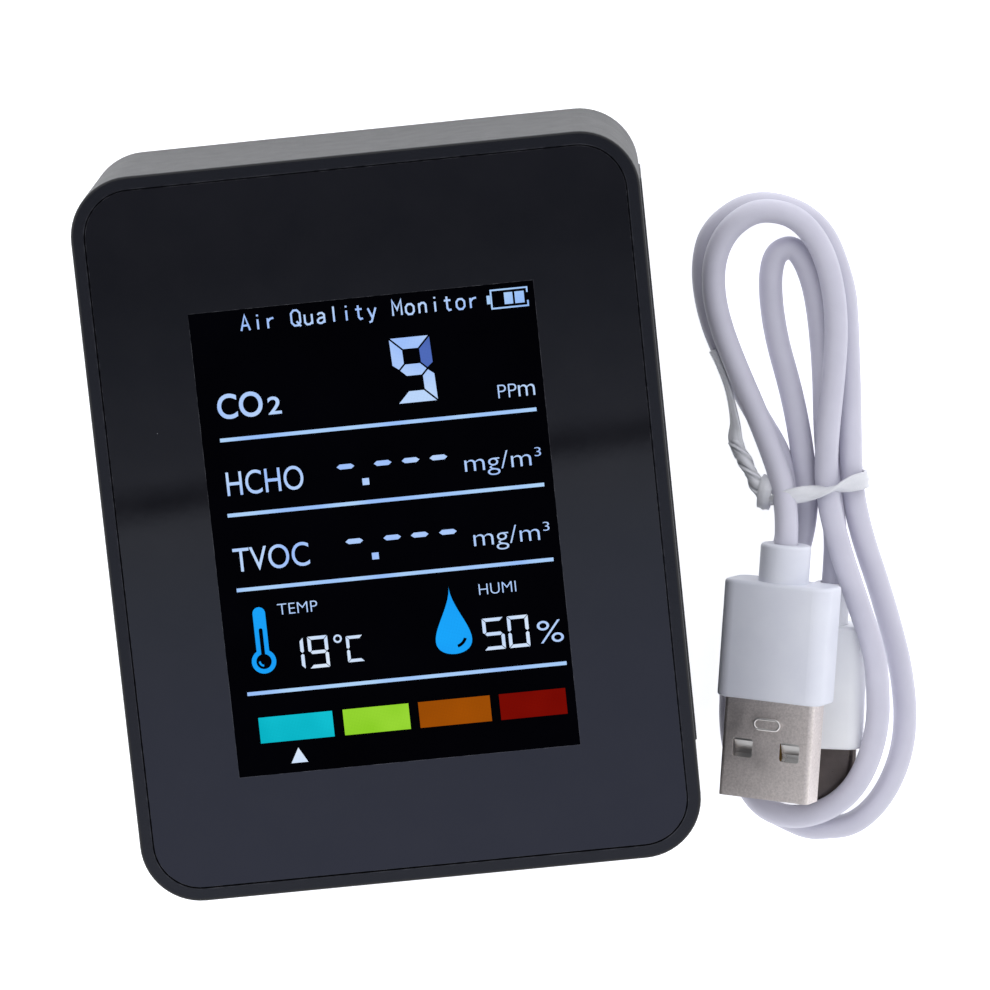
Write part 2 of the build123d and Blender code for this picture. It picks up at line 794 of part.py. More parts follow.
with BuildPart() as usb_c_shell:
    with BuildSketch(c_plane.offset(c_shell_start)):
        SlotOverall(*c_shell)
        SlotOverall(c_shell[0] - 0.5, c_shell[1] - 0.5, mode=Mode.SUBTRACT)
    extrude(amount=c_shell_length)

usb_c_shell.part.label = "usb_c_shell"
export_step(usb_c_shell.part, "parts/usb_c_shell.step")

with BuildPart() as usb_c_core:
    with BuildSketch(c_plane.offset(c_shell_start)):
        SlotOverall(c_shell[0] - 0.6, c_shell[1] - 0.6)
    extrude(amount=4.0)
    with BuildSketch(c_plane.offset(c_shell_start + 4.0)):
        with Locations((0, 0.7), (0, -0.7)):
            Rectangle(6.0, 0.3)
    extrude(amount=c_shell_length - 4.8)

usb_c_core.part.label = "usb_c_core"
export_step(usb_c_core.part, "parts/usb_c_core.step")


# ---- Hank: the outer shape of the cord's loops, tied across the middle ----
layer_top = cord_diameter + 0.2
hank_top = 7.0
tie_centre = (53.8, -5.0)
tie_width = 13.4
tie_height = 8.2
tie_band = 0.8
tie_length = 2.4
tie_plane = Plane(origin=(*tie_centre, 0), x_dir=(1, 0, 0), z_dir=(0, -1, 0))

upper_outline = [(47.4, 24.6, 7.2), (52.0, 24.0, 8.0), (55.6, 12.0, 5.0), (53.8, -5.0, 6.0)]
upper_gap = [(48.2, 23.6, 3.6), (51.0, 14.0, 2.0), (53.4, 4.0, 0.6)]
lower_outline = [(51.5, -39.3, 12.3), (42.6, -37.5, 6.1), (53.8, -5.0, 6.0)]
lower_gap = [(51.5, -39.3, 9.1), (54.4, -20.6, 3.2)]


def outline_hull(circles):
    """Outline drawn tightly round circles given as (x, y, radius)."""
    for x, y, radius in circles:
        with Locations((x, y)):
            Circle(radius)
    make_hull()


def loop_band(outer, inner, height):
    """One loop of the hank, solid in plan between its outer line and its gap."""
    with BuildPart() as band:
        with BuildSketch():
            outline_hull(outer)
        extrude(amount=height)
        with BuildSketch():
            outline_hull(inner)
        extrude(amount=height, mode=Mode.SUBTRACT)
    return band.part


upper_band = loop_band(upper_outline, upper_gap, 2 * cord_diameter)
lower_band = loop_band(lower_outline, lower_gap, layer_top)
c_clearance = (c_housing[0] + 0.6, c_housing[1] + 0.5)
a_clearance = (a_housing[0] + 0.6, a_housing[1] + 0.6)

with BuildPart() as cord_hank:
    add(upper_band)
    add(lower_band)
    with BuildSketch():
        with BuildLine():
            run = FilletPolyline(
                (54.6, -5.0),
                (55.4, -12.3),
                (58.8, -26.7),
                (58.6, -36.4),
                (53.7, -45.2),
                (46.7, -47.6),
                (41.8, -45.0),
                radius=(6.0, 9.0, 9.0, 7.0, 4.0),
            )
            offset(amount=cord_diameter / 2)
        make_face()
    extrude(amount=hank_top)
    with BuildSketch(c_plane.offset(-c_neck_length)):
        Rectangle(2 * c_neck_radius + 0.4, 2 * c_neck_radius + 0.4)
    extrude(amount=c_neck_length + 0.5, mode=Mode.SUBTRACT)
    with BuildSketch(c_plane.offset(-0.2)):
        RectangleRounded(*c_clearance, 2.4)
    extrude(amount=c_housing_length + 0.6, mode=Mode.SUBTRACT)
    with BuildSketch(c_plane.offset(c_housing_length)):
        RectangleRounded(c_shell[0] + 0.6, c_shell[1] + 0.6, 1.4)
    extrude(amount=c_shell_length - c_shell_set_in + 0.3, mode=Mode.SUBTRACT)
    with BuildSketch(a_plane.offset(-0.3)):
        RectangleRounded(*a_clearance, 2.0)
    extrude(amount=a_tip + 0.6, mode=Mode.SUBTRACT)
    with BuildSketch(tie_plane):
        with Locations((0, tie_height / 2)):
            Rectangle(tie_width + 4.0, tie_height + 1.0)
            RectangleRounded(
                tie_width - 2 * tie_band - 0.2,
                tie_height - 2 * tie_band - 0.2,
                2.2,
                mode=Mode.SUBTRACT,
            )
    extrude(amount=tie_length / 2 + 0.1, both=True, mode=Mode.SUBTRACT)

cord_hank.part.label = "cord_hank"
export_step(cord_hank.part, "parts/cord_hank.step")


# ---- Twist tie round the hank's waist, with its knot and loose tail ----
knot_x = tie_centre[0] - tie_width / 2

with BuildPart() as twist_tie:
    with BuildSketch(tie_plane):
        with Locations((0, tie_height / 2)):
            RectangleRounded(tie_width, tie_height, 3.0)
            RectangleRounded(
                tie_width - 2 * tie_band,
                tie_height - 2 * tie_band,
                2.3,
                mode=Mode.SUBTRACT,
            )
    extrude(amount=tie_length / 2, both=True)
    with BuildSketch(Plane.XY.offset(3.6)):
        with Locations((knot_x - 0.75, tie_centre[1] - 0.5)):
            RectangleRounded(1.7, 4.0, 0.7)
    extrude(amount=3.0)
    with BuildSketch(Plane.XY.offset(4.2)):
        with BuildLine():
            tail = Polyline(
                (knot_x - 1.0, tie_centre[1] + 0.6),
                (43.0, 1.8),
                (42.0, 9.6),
            )
            offset(amount=0.9)
        make_face()
    extrude(amount=1.6)

twist_tie.part.label = "twist_tie"
export_step(twist_tie.part, "parts/twist_tie.step")
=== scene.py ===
"""Pocket carbon dioxide and air quality monitor with its tied USB lead, on a pale table."""
import bmesh
import bpy
from math import cos, degrees, pi, radians, sin
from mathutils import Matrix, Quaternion, Vector


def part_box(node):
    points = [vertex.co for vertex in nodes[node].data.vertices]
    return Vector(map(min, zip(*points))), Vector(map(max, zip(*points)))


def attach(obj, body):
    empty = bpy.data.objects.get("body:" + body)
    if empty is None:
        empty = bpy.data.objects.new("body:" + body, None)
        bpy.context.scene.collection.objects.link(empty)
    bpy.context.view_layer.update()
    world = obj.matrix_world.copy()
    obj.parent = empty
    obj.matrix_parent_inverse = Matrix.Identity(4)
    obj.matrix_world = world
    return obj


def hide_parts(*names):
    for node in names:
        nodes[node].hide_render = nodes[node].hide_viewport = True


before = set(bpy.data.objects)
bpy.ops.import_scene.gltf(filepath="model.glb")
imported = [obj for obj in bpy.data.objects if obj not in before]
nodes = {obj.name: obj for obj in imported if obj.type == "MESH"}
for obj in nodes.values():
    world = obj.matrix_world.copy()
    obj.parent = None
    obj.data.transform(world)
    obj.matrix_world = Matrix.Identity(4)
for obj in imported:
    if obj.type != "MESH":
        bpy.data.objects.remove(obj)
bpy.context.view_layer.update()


# ---- Camera ----
# A long lens three quarters of a metre above the table. It looks nearly straight
# down, from a little beyond the top end of the case.
camera_data = bpy.data.cameras.new("camera")
camera_data.lens = 218.4
camera_data.sensor_width = 36.0
camera = bpy.data.objects.new("camera", camera_data)
camera.location = (0.0356, 0.1174, 0.7593)
camera.rotation_mode = "ZXY"
camera.rotation_euler = (radians(-9.0), radians(1.74), radians(-5.93))
bpy.context.scene.collection.objects.link(camera)
bpy.context.scene.camera = camera
bpy.context.scene.view_settings.view_transform = "Standard"


# ---- USB lead: the cord ----
# Round 3 mm lead in a soft white PVC sheath, gathered by hand into three uneven
# loops and tied across the middle. Each end runs into the neck of its plug.
mm = 0.001
cord_diameter = 3.0 * mm
cord_route = [
    (48.4, -14.2, 9.7), (48.95, -10.8, 9.5), (49.3, -7.6, 8.0), (49.2, -4.4, 5.7),
    (48.3, -0.4, 4.6), (46.7, 5.2, 4.5), (44.8, 11.1, 4.5), (43.4, 16.2, 4.5),
    (42.8, 20.5, 4.5), (43.2, 24.7, 4.5), (44.9, 28.1, 4.5), (47.7, 30.2, 4.5),
    (50.4, 30.7, 4.5), (53.9, 29.6, 4.5), (56.2, 26.8, 4.5), (57.5, 23.3, 4.5),
    (58.0, 19.0, 4.5), (57.9, 14.8, 4.5), (57.3, 10.6, 4.5), (56.5, 6.4, 4.6),
    (55.3, 0.4, 4.9), (54.6, -5.4, 4.9), (55.4, -12.3, 5.2), (56.9, -18.9, 6.4),
    (58.8, -26.7, 6.8), (58.8, -31.3, 6.4), (58.4, -36.4, 5.7), (56.6, -41.5, 5.5),
    (53.9, -45.2, 5.4), (50.4, -47.3, 4.7), (46.7, -47.8, 4.5), (43.5, -46.7, 4.2),
    (41.4, -44.4, 3.0), (39.9, -40.0, 1.7), (39.6, -34.6, 1.5), (40.7, -28.0, 1.5),
    (45.6, -20.0, 1.5), (48.7, -13.6, 1.6), (49.9, -7.6, 2.4), (49.6, -1.4, 1.9),
    (46.5, 5.0, 1.5), (43.6, 12.0, 1.5), (41.9, 18.0, 1.5), (41.7, 24.1, 1.5),
    (43.5, 29.0, 1.5), (49.7, 32.0, 1.5), (57.2, 28.4, 1.5), (59.5, 20.0, 1.5),
    (59.4, 15.0, 1.5), (59.1, 10.0, 1.5), (58.7, 3.6, 1.6), (57.9, -5.5, 2.4),
    (58.6, -12.1, 1.9), (60.4, -19.8, 1.5), (61.8, -27.6, 1.5), (62.2, -32.2, 1.5),
    (62.1, -37.4, 1.5), (60.8, -42.5, 1.5), (57.9, -47.3, 1.5), (54.1, -50.1, 1.5),
    (50.6, -50.1, 1.5), (48.2, -49.9, 1.5), (45.5, -48.3, 1.5), (42.5, -46.3, 1.5),
    (41.0, -43.0, 1.5), (41.1, -38.0, 1.5), (42.5, -31.0, 1.5), (45.5, -24.0, 1.5),
    (48.6, -18.0, 1.5), (51.2, -12.0, 1.6), (52.2, -7.1, 2.3), (52.2, -2.8, 2.3),
    (52.0, 2.1, 1.7), (51.4, 7.5, 1.5), (50.3, 13.5, 1.5), (50.0, 18.6, 1.5),
    (50.3, 22.4, 1.5), (51.3, 24.9, 1.5), (53.6, 25.4, 1.5), (55.1, 22.6, 1.5), (55.9, 17.9, 1.5),
    (55.9, 9.3, 1.5), (55.3, 2.0, 1.7), (55.2, -5.0, 2.4), (55.4, -12.0, 2.7),
    (54.8, -16.2, 2.85), (54.2, -19.6, 2.85), (53.9, -21.4, 2.85),
]


def shader_node(tree, kind, inputs=None, **settings):
    """One shader node. An input is a plain value, or the output that feeds it."""
    node = tree.nodes.new("ShaderNode" + kind)
    for key, value in settings.items():
        setattr(node, key, value)
    for key, value in (inputs or {}).items():
        if isinstance(value, bpy.types.NodeSocket):
            tree.links.new(value, node.inputs[key])
        else:
            node.inputs[key].default_value = value
    return node


def maths(tree, operation, *values):
    """Output of one Math node on the given values."""
    return shader_node(tree, "Math", dict(enumerate(values)), operation=operation).outputs[0]


def remap(tree, value, low, high, new_low=0.0, new_high=1.0):
    """Carries a value from one range to another."""
    return shader_node(tree, "MapRange", {
        "Value": value, "From Min": low, "From Max": high, "To Min": new_low, "To Max": new_high,
    }).outputs["Result"]


def mix(tree, share, first, second):
    """Mixes two colours; a share of 0 gives the first one."""
    inputs = {"Fac": share, "Color1": first, "Color2": second}
    return shader_node(tree, "MixRGB", inputs).outputs["Color"]


def raise_by(tree, height, distance):
    """Normal of a face raised by a height mask, distance in mm."""
    return shader_node(tree, "Bump", {"Height": height, "Distance": distance * mm}).outputs["Normal"]


def feed(tree, node, **sources):
    """Links outputs to a node's inputs, with _ for each space in an input's name."""
    for key, source in sources.items():
        tree.links.new(source, node.inputs[key.replace("_", " ")])


def new_group(name, inputs, outputs):
    """Empty shader group with its sockets; returns it with the two ends inside it."""
    group = bpy.data.node_groups.new(name, "ShaderNodeTree")
    for label, kind in inputs.items():
        group.interface.new_socket(label, in_out="INPUT", socket_type="NodeSocket" + kind)
    for label, kind in outputs.items():
        group.interface.new_socket(label, in_out="OUTPUT", socket_type="NodeSocket" + kind)
    return group, group.nodes.new("NodeGroupInput").outputs, group.nodes.new("NodeGroupOutput").inputs


def use_group(tree, group, inputs):
    """Places a group in a material with that material's own values."""
    node = shader_node(tree, "Group", node_tree=group)
    for key, value in inputs.items():
        node.inputs[key].default_value = value
    return node.outputs


def make_two_tone():
    """Soft patches of a second colour, as any moulded or coated face has."""
    group, given, made = new_group(
        "two_tone", {"Main": "Color", "Second": "Color", "Size": "Float"}, {"Colour": "Color"}
    )
    place = shader_node(group, "TexCoord").outputs["Object"]
    patches = shader_node(
        group, "TexNoise", {"Vector": place, "Scale": given["Size"], "Detail": 5.0, "Roughness": 0.6}
    )
    spread = remap(group, patches.outputs["Fac"], 0.32, 0.68)
    group.links.new(mix(group, spread, given["Main"], given["Second"]), made["Colour"])
    return group


def make_surface_grain():
    """Fine raised grain, and a roughness that drifts between a low and a high value."""
    group, given, made = new_group(
        "surface_grain",
        {"Size": "Float", "Stretch": "Vector", "Low": "Float", "High": "Float"},
        {"Height": "Float", "Roughness": "Float"},
    )
    place = shader_node(group, "TexCoord").outputs["Object"]
    pulled = shader_node(
        group, "VectorMath", {0: place, 1: given["Stretch"]}, operation="MULTIPLY"
    ).outputs["Vector"]
    fine = shader_node(
        group, "TexNoise", {"Vector": pulled, "Scale": given["Size"], "Detail": 4.0, "Roughness": 0.6}
    )
    broad_size = maths(group, "MULTIPLY", given["Size"], 0.06)
    broad = shader_node(group, "TexNoise", {"Vector": pulled, "Scale": broad_size, "Detail": 3.0})
    both = maths(group, "ADD", broad.outputs["Fac"], fine.outputs["Fac"])
    group.links.new(fine.outputs["Fac"], made["Height"])
    group.links.new(remap(group, both, 0.7, 1.3, given["Low"], given["High"]), made["Roughness"])
    return group


two_tone = make_two_tone()
surface_grain = make_surface_grain()


def start_material(name, shader_values=None):
    """New material; the given values are set on its shader's own sockets."""
    material = bpy.data.materials.new(name)
    material.use_nodes = True
    shader = material.node_tree.nodes["Principled BSDF"]
    for key, value in (shader_values or {}).items():
        shader.inputs[key].default_value = value
    return material, material.node_tree, shader


def surface_finish(
    name, main, second, patch, low, high, grain, depth, stretch=(1, 1, 1), **shader_values
):
    """Two-tone coloured surface with a fine grain; sizes are given in mm."""
    values = {key.replace("_", " "): value for key, value in shader_values.items()}
    material, tree, shader = start_material(name, values)
    colour = use_group(
        tree, two_tone, {"Main": (*main, 1), "Second": (*second, 1), "Size": 1 / (patch * mm)}
    )
    skin = use_group(tree, surface_grain, {
        "Size": 1 / (grain * mm), "Stretch": stretch, "Low": low, "High": high,
    })
    normal = raise_by(tree, skin["Height"], depth)
    feed(tree, shader, Base_Color=colour["Colour"], Roughness=skin["Roughness"], Normal=normal)
    return material


sheath_finish = surface_finish(
    "cord_sheath", main=(0.59, 0.58, 0.67), second=(0.54, 0.53, 0.62), patch=9.0,
    low=0.38, high=0.55, grain=0.35, depth=0.012,
)
cord_curve = bpy.data.curves.new("lead_cord", "CURVE")
cord_curve.dimensions = "3D"
cord_curve.bevel_depth = cord_diameter / 2
cord_curve.bevel_resolution = 8
cord_curve.resolution_u = 10
cord_curve.use_fill_caps = True
cord_line = cord_curve.splines.new("NURBS")
cord_line.points.add(len(cord_route) - 1)
for point, place in zip(cord_line.points, cord_route):
    point.co = (*(Vector(place) * mm), 1.0)
cord_line.order_u = 3
cord_line.use_endpoint_u = True
cord_curve.materials.append(sheath_finish)
lead_cord = bpy.data.objects.new("lead_cord", cord_curve)
bpy.context.scene.collection.objects.link(lead_cord)
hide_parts("cord_hank")
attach(lead_cord, "usb_lead")


# ---- Twist tie ----
# Flat white plastic ribbon with a soft wire down its middle. It goes once round
# the bundle, turns over on top, and its ends are wound together at the left.
tie_finish = surface_finish(
    "tie_plastic", main=(0.71, 0.715, 0.75), second=(0.65, 0.655, 0.695), patch=3.0,
    low=0.30, high=0.48, grain=0.25, depth=0.03,
)
ribbon_edge = 0.22
ribbon_core = 0.34
steps_per_span = 8


def ribbon_section(width, core):
    """Outline of the ribbon: two thin wings with the wire's bulge between them."""
    half = width / 2
    upper = [
        (half, 0.0), (half * 0.94, ribbon_edge), (half * 0.45, ribbon_edge * 1.05),
        (core, core * 0.75), (0.0, core * 1.15), (-core, core * 0.75),
        (-half * 0.45, ribbon_edge * 1.05), (-half * 0.94, ribbon_edge), (-half, 0.0),
    ]
    lower = [(x, -y) for x, y in reversed(upper[1:-1])]
    return upper + lower


def between(values, t):
    """Smooth value between the middle two of four, for t from 0 to 1."""
    a, b, c, d = values
    bend = 2 * a - 5 * b + 4 * c - d
    twist = 3 * b - a - 3 * c + d
    return 0.5 * (2 * b + (c - a) * t + bend * t**2 + twist * t**3)


def join_rings(bm, rings):
    """Skin of faces from each ring of corners to the next."""
    for first, second in zip(rings, rings[1:]):
        for j in range(len(first)):
            k = (j + 1) % len(first)
            bm.faces.new((first[j], first[k], second[k], second[j]))


def wind_ribbon(bm, stations, core=ribbon_core):
    """Ribbon through stations of (place, way its face looks, width), closed at both ends."""
    rows = [Vector((*place, *face, width)) for place, face, width in stations]
    padded = [rows[0], *rows, rows[-1]]
    line = []
    for i in range(len(rows) - 1):
        for step in range(steps_per_span):
            line.append(between(padded[i:i + 4], step / steps_per_span))
    line.append(rows[-1])
    rings = []
    for i, row in enumerate(line):
        ahead = line[min(i + 1, len(line) - 1)]
        behind = line[max(i - 1, 0)]
        along = Vector(ahead[:3]) - Vector(behind[:3])
        along.normalize()
        face = Vector(row[3:6])
        face = (face - along * face.dot(along)).normalized()
        side = along.cross(face)
        middle = Vector(row[:3])
        ring = [
            bm.verts.new((middle + side * x + face * y) * mm)
            for x, y in ribbon_section(row[6], core)
        ]
        rings.append(ring)
    join_rings(bm, rings)
    bm.faces.new(list(reversed(rings[0])))
    bm.faces.new(rings[-1])


def finish_piece(name, bm, material, body, smooth=True):
    """Turns a bmesh into a named piece with its finish, riding on its body."""
    bmesh.ops.recalc_face_normals(bm, faces=bm.faces)
    mesh = bpy.data.meshes.new(name)
    bm.to_mesh(mesh)
    bm.free()
    for face in mesh.polygons:
        face.use_smooth = smooth
    mesh.materials.append(material)
    piece = bpy.data.objects.new(name, mesh)
    bpy.context.scene.collection.objects.link(piece)
    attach(piece, body)
    return piece


tie_mesh = bmesh.new()
wind_ribbon(tie_mesh, [
    ((47.0, -6.3, 5.2), (-0.7, -0.3, 0.6), 1.2),
    ((47.6, -6.1, 6.4), (-0.4, -0.3, 0.9), 1.3),
    ((49.2, -5.8, 7.6), (-0.1, -0.1, 1.0), 2.0),
    ((51.2, -5.55, 7.55), (0.1, 0.0, 1.0), 2.1),
    ((53.4, -5.45, 7.2), (0.1, 0.75, 0.7), 1.9),
    ((55.0, -5.35, 6.95), (0.2, 1.0, 0.0), 1.8),
    ((56.6, -5.2, 6.3), (-0.2, 0.7, -0.7), 2.0),
    ((58.3, -5.1, 5.2), (-0.6, 0.1, -0.8), 2.2),
    ((59.75, -5.1, 3.7), (-0.9, 0.0, -0.35), 2.2),
    ((59.8, -5.1, 2.0), (-0.9, 0.0, 0.3), 2.2),
    ((58.2, -5.1, 0.5), (-0.3, 0.0, 1.0), 2.2),
    ((53.5, -5.1, 0.42), (0.0, 0.0, 1.0), 2.2),
    ((48.6, -5.1, 0.5), (0.3, 0.0, 1.0), 2.2),
    ((46.9, -5.0, 2.0), (0.9, 0.0, 0.3), 2.0),
    ((46.7, -4.9, 4.0), (1.0, 0.0, 0.0), 1.8),
])
wind_ribbon(tie_mesh, [
    ((47.9, -3.9, 3.6), (0.6, 0.8, -0.3), 1.7),
    ((47.5, -3.5, 5.2), (0.3, 0.8, 0.5), 1.8),
    ((46.9, -4.6, 6.3), (-0.1, 0.3, 0.95), 1.8),
    ((46.5, -6.3, 6.0), (-0.3, -0.4, 0.85), 1.7),
    ((46.5, -7.1, 4.8), (-0.3, -0.95, 0.1), 1.6),
    ((47.0, -6.5, 3.5), (0.1, -0.7, -0.7), 1.5),
])
tail_half_turns = 2.4
tail_steps = 12
tail_start = Vector((46.5, -5.4, 5.2))
tail_end = Vector((43.65, 1.7, 3.9))
tail_rise = 0.35
tail_lean = 0.4
tail_width = 2.2
tail_taper = 0.3
tail_core = 0.72
tail = []
for step in range(tail_steps + 1):
    share = step / tail_steps
    turn = pi * tail_half_turns * share
    place = tail_start.lerp(tail_end, share)
    place.z += tail_rise * sin(pi * share)
    face = (cos(turn), tail_lean * cos(turn), sin(turn))
    tail.append((tuple(place), face, tail_width - tail_taper * share))
wind_ribbon(tie_mesh, tail, core=tail_core)
wind_ribbon(tie_mesh, [
    ((44.3, -0.4, 4.2), (0.1, 0.2, 1.0), 1.7),
    ((43.8, 1.9, 4.3), (-0.3, 0.1, 0.95), 1.9),
    ((43.95, 4.2, 3.9), (-0.80, -0.1, 0.60), 1.6),
    ((43.55, 8.0, 3.5), (-0.92, -0.2, 0.4), 1.4),
    ((42.75, 11.2, 3.2), (-0.88, -0.2, 0.45), 1.3),
    ((42.0, 13.3, 3.0), (-0.85, -0.2, 0.5), 1.3),
])
lead_tie = finish_piece("lead_tie", tie_mesh, tie_finish, "usb_lead")
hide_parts("twist_tie")


# ---- USB plugs ----
# Cool white overmoulds with short round necks. The big plug has a nickel-plated
# shell with a raised tab and two leaf springs; the small one's shell is darker.
def make_edge_rub_and_glint():
    """Mask that is 1 on sharp outside edges, broken up as handling leaves it; it marks rubbed wear
    and painted glints.
    """
    group, given, made = new_group("edge_rub_and_glint", {"Reach": "Float", "Size": "Float"}, {"Mask": "Float"})
    rounded = shader_node(group, "Bevel", {"Radius": given["Reach"]}, samples=6)
    flat = shader_node(group, "NewGeometry")
    match = shader_node(
        group, "VectorMath", {0: rounded.outputs["Normal"], 1: flat.outputs["Normal"]},
        operation="DOT_PRODUCT",
    )
    edge = remap(group, match.outputs["Value"], 0.995, 0.90)
    place = shader_node(group, "TexCoord").outputs["Object"]
    breaks = shader_node(group, "TexNoise", {"Vector": place, "Scale": given["Size"], "Detail": 4.0})
    broken = remap(group, breaks.outputs["Fac"], 0.40, 0.66)
    group.links.new(maths(group, "MULTIPLY", edge, broken), made["Mask"])
    return group


edge_rub_and_glint = make_edge_rub_and_glint()
rub_and_glint_breaks = 900.0


def lay_over(material, mask, colour, strength=1.0):
    """Lays a colour over a material's own where a mask says."""
    tree = material.node_tree
    shader = tree.nodes["Principled BSDF"]
    under = shader.inputs["Base Color"].links[0].from_socket
    weight = maths(tree, "MULTIPLY", mask, strength)
    feed(tree, shader, Base_Color=mix(tree, weight, under, (*colour, 1)))


def add_wear_and_glint(material, reach, colour, strength):
    """Lighter edges, partly rubbed wear and partly painted glint; reach in mm."""
    mask = use_group(material.node_tree, edge_rub_and_glint, {"Reach": reach * mm, "Size": rub_and_glint_breaks})
    lay_over(material, mask["Mask"], colour, strength)


def dress(material, *names):
    """Gives CAD nodes their finish, in the slot that each one has."""
    for name in names:
        nodes[name].material_slots[0].material = material


def metal_finish(name, main, second, low, high, grain, depth, stretch=(1, 1, 1)):
    """Bare or plated metal with a fine drawn or blasted grain."""
    return surface_finish(
        name, main=main, second=second, patch=4.0, low=low, high=high, grain=grain,
        depth=depth, stretch=stretch, Metallic=1.0,
    )


overmould_finish = surface_finish(
    "overmould_white", main=(0.72, 0.735, 0.805), second=(0.67, 0.685, 0.765), patch=7.0,
    low=0.40, high=0.52, grain=0.18, depth=0.008,
)
dress(overmould_finish, "usb_a_housing", "usb_a_relief")
# The small plug's overmould is the same white plastic, painted brighter to make up for the shade that
# the cords cast on it.
small_overmould_painted_lit = surface_finish(
    "overmould_painted_bright", main=(0.90, 0.91, 0.93), second=(0.86, 0.87, 0.90), patch=6.0,
    low=0.34, high=0.46, grain=0.18, depth=0.008,
)
dress(small_overmould_painted_lit, "usb_c_housing", "usb_c_relief")
insulator_finish = surface_finish(
    "insulator_white", main=(0.66, 0.66, 0.66), second=(0.58, 0.58, 0.60), patch=2.0,
    low=0.35, high=0.5, grain=0.2, depth=0.01,
)
dress(insulator_finish, "usb_a_insulator")

shell_finish = surface_finish(
    "shell_nickel", main=(0.78, 0.72, 0.695), second=(0.60, 0.55, 0.53), patch=0.28,
    low=0.42, high=0.64, grain=0.16, depth=0.020, Metallic=1.0,
)
add_wear_and_glint(shell_finish, 0.18, (0.85, 0.83, 0.82), 0.8)
dress(shell_finish, "usb_a_shell", "usb_socket")
dark_shell = metal_finish(
    "dark_nickel", (0.125, 0.105, 0.095), (0.085, 0.070, 0.062), 0.26, 0.38, 0.11, 0.008
)
add_wear_and_glint(dark_shell, 0.15, (0.60, 0.58, 0.56), 0.7)
dress(dark_shell, "usb_c_shell")
contact_finish = metal_finish(
    "contact_gold", (0.83, 0.60, 0.24), (0.76, 0.54, 0.20), 0.18, 0.28, 0.2, 0.003
)
dress(contact_finish, "usb_a_contacts")

plug_back = Vector((48.05, -16.05, 9.8))
plug_heading = radians(9.6)
plug_pitch = radians(3.0)
plug_roll = radians(22.0)
plug_tip = Vector((
    -sin(plug_heading) * cos(plug_pitch), -cos(plug_heading) * cos(plug_pitch), sin(plug_pitch),
))
plug_across = Quaternion(plug_tip, plug_roll) @ Vector((cos(plug_heading), -sin(plug_heading), 0))
plug_up = plug_tip.cross(plug_across)


def on_plug(across, up, along):
    """Place on the big plug, in mm from the middle of its back face."""
    return (plug_back + plug_across * across + plug_up * up + plug_tip * along) * mm


tab_along = 18.1
tab_half = 1.05
tab_round = 0.65
tab_height = 2.45
tab_bead = 0.18
tab_steps = 8
tab_mesh = bmesh.new()
tab_line = []
for side in (1, -1):
    for step in range(tab_steps + 1):
        turn = pi * step / tab_steps - pi / 2
        out = Vector((side * cos(turn), side * sin(turn)))
        tab_line.append((Vector((side * tab_half, 0)) + out * tab_round, out))
tab_rings = []
for spot, out in tab_line:
    ring = []
    for step in range(tab_steps):
        turn = 2 * pi * step / tab_steps
        flat = spot + out * tab_bead * cos(turn)
        up = tab_height + tab_bead * sin(turn)
        ring.append(tab_mesh.verts.new(on_plug(flat.x, up, tab_along + flat.y)))
    tab_rings.append(ring)
join_rings(tab_mesh, tab_rings + tab_rings[:1])
tab_finish = metal_finish(
    "tab_nickel", (0.86, 0.84, 0.82), (0.78, 0.76, 0.74), 0.30, 0.42, 0.2, 0.004
)
plug_tab = finish_piece("plug_tab", tab_mesh, tab_finish, "usb_lead")

hole_across = 3.15
leaf_half = 1.25
leaf_thick = 0.12
leaf_section = [(-leaf_half, 0), (leaf_half, 0), (leaf_half, leaf_thick), (-leaf_half, leaf_thick)]
leaf_curve = [
    (20.0, 1.82), (20.5, 1.78), (21.1, 1.48), (21.7, 1.16), (22.2, 1.10), (22.7, 1.32), (23.2, 1.80),
]
leaves = bmesh.new()
for side in (-1, 1):
    rows = []
    for along, up in leaf_curve:
        rows.append([
            leaves.verts.new(on_plug(side * hole_across + across, up + lift, along))
            for across, lift in leaf_section
        ])
    join_rings(leaves, rows)
    leaves.faces.new(rows[0])
    leaves.faces.new(rows[-1])
leaf_finish = metal_finish(
    "leaf_steel", (0.60, 0.59, 0.58), (0.52, 0.51, 0.50), 0.26, 0.38, 0.2, 0.004
)
plug_leaves = finish_piece(
    "plug_leaves", leaves, leaf_finish, "usb_lead", smooth=False
)


# ---- Table and light ----
# Plain white glowing table top, a bright soft room, a big soft lamp at the upper
# left and a weaker one beyond the top end. It is dim straight overhead.
table_half = 4.0
table_drop = 0.05 * mm
table_mesh = bmesh.new()
bmesh.ops.create_grid(table_mesh, x_segments=4, y_segments=4, size=table_half)
table_shape = bpy.data.meshes.new("table_top")
table_mesh.to_mesh(table_shape)
table_mesh.free()
table_finish, table_tree, table_shader = start_material(
    "table_top", {"Roughness": 0.7, "Emission Strength": 0.80}
)
table_shader.inputs["Emission Color"].default_value = (0.97, 0.98, 1.0, 1)
table_tone = use_group(
    table_tree, two_tone,
    {"Main": (0.74, 0.745, 0.76, 1), "Second": (0.76, 0.765, 0.78, 1), "Size": 3.0},
)
feed(table_tree, table_shader, Base_Color=table_tone["Colour"])
table_shape.materials.append(table_finish)
table_top = bpy.data.objects.new("table_top", table_shape)
table_top.location.z = -table_drop
bpy.context.scene.collection.objects.link(table_top)


def soft_light(name, shape, width, height, power, place):
    """Area lamp that looks at the object; it lights but is not mirrored."""
    data = bpy.data.lights.new(name, "AREA")
    data.shape = shape
    data.size = width
    data.size_y = height
    data.energy = power
    lamp = bpy.data.objects.new(name, data)
    lamp.location = place
    lamp.rotation_mode = "QUATERNION"
    lamp.rotation_quaternion = Vector(place).to_track_quat("Z", "Y")
    lamp.visible_glossy = False
    bpy.context.scene.collection.objects.link(lamp)


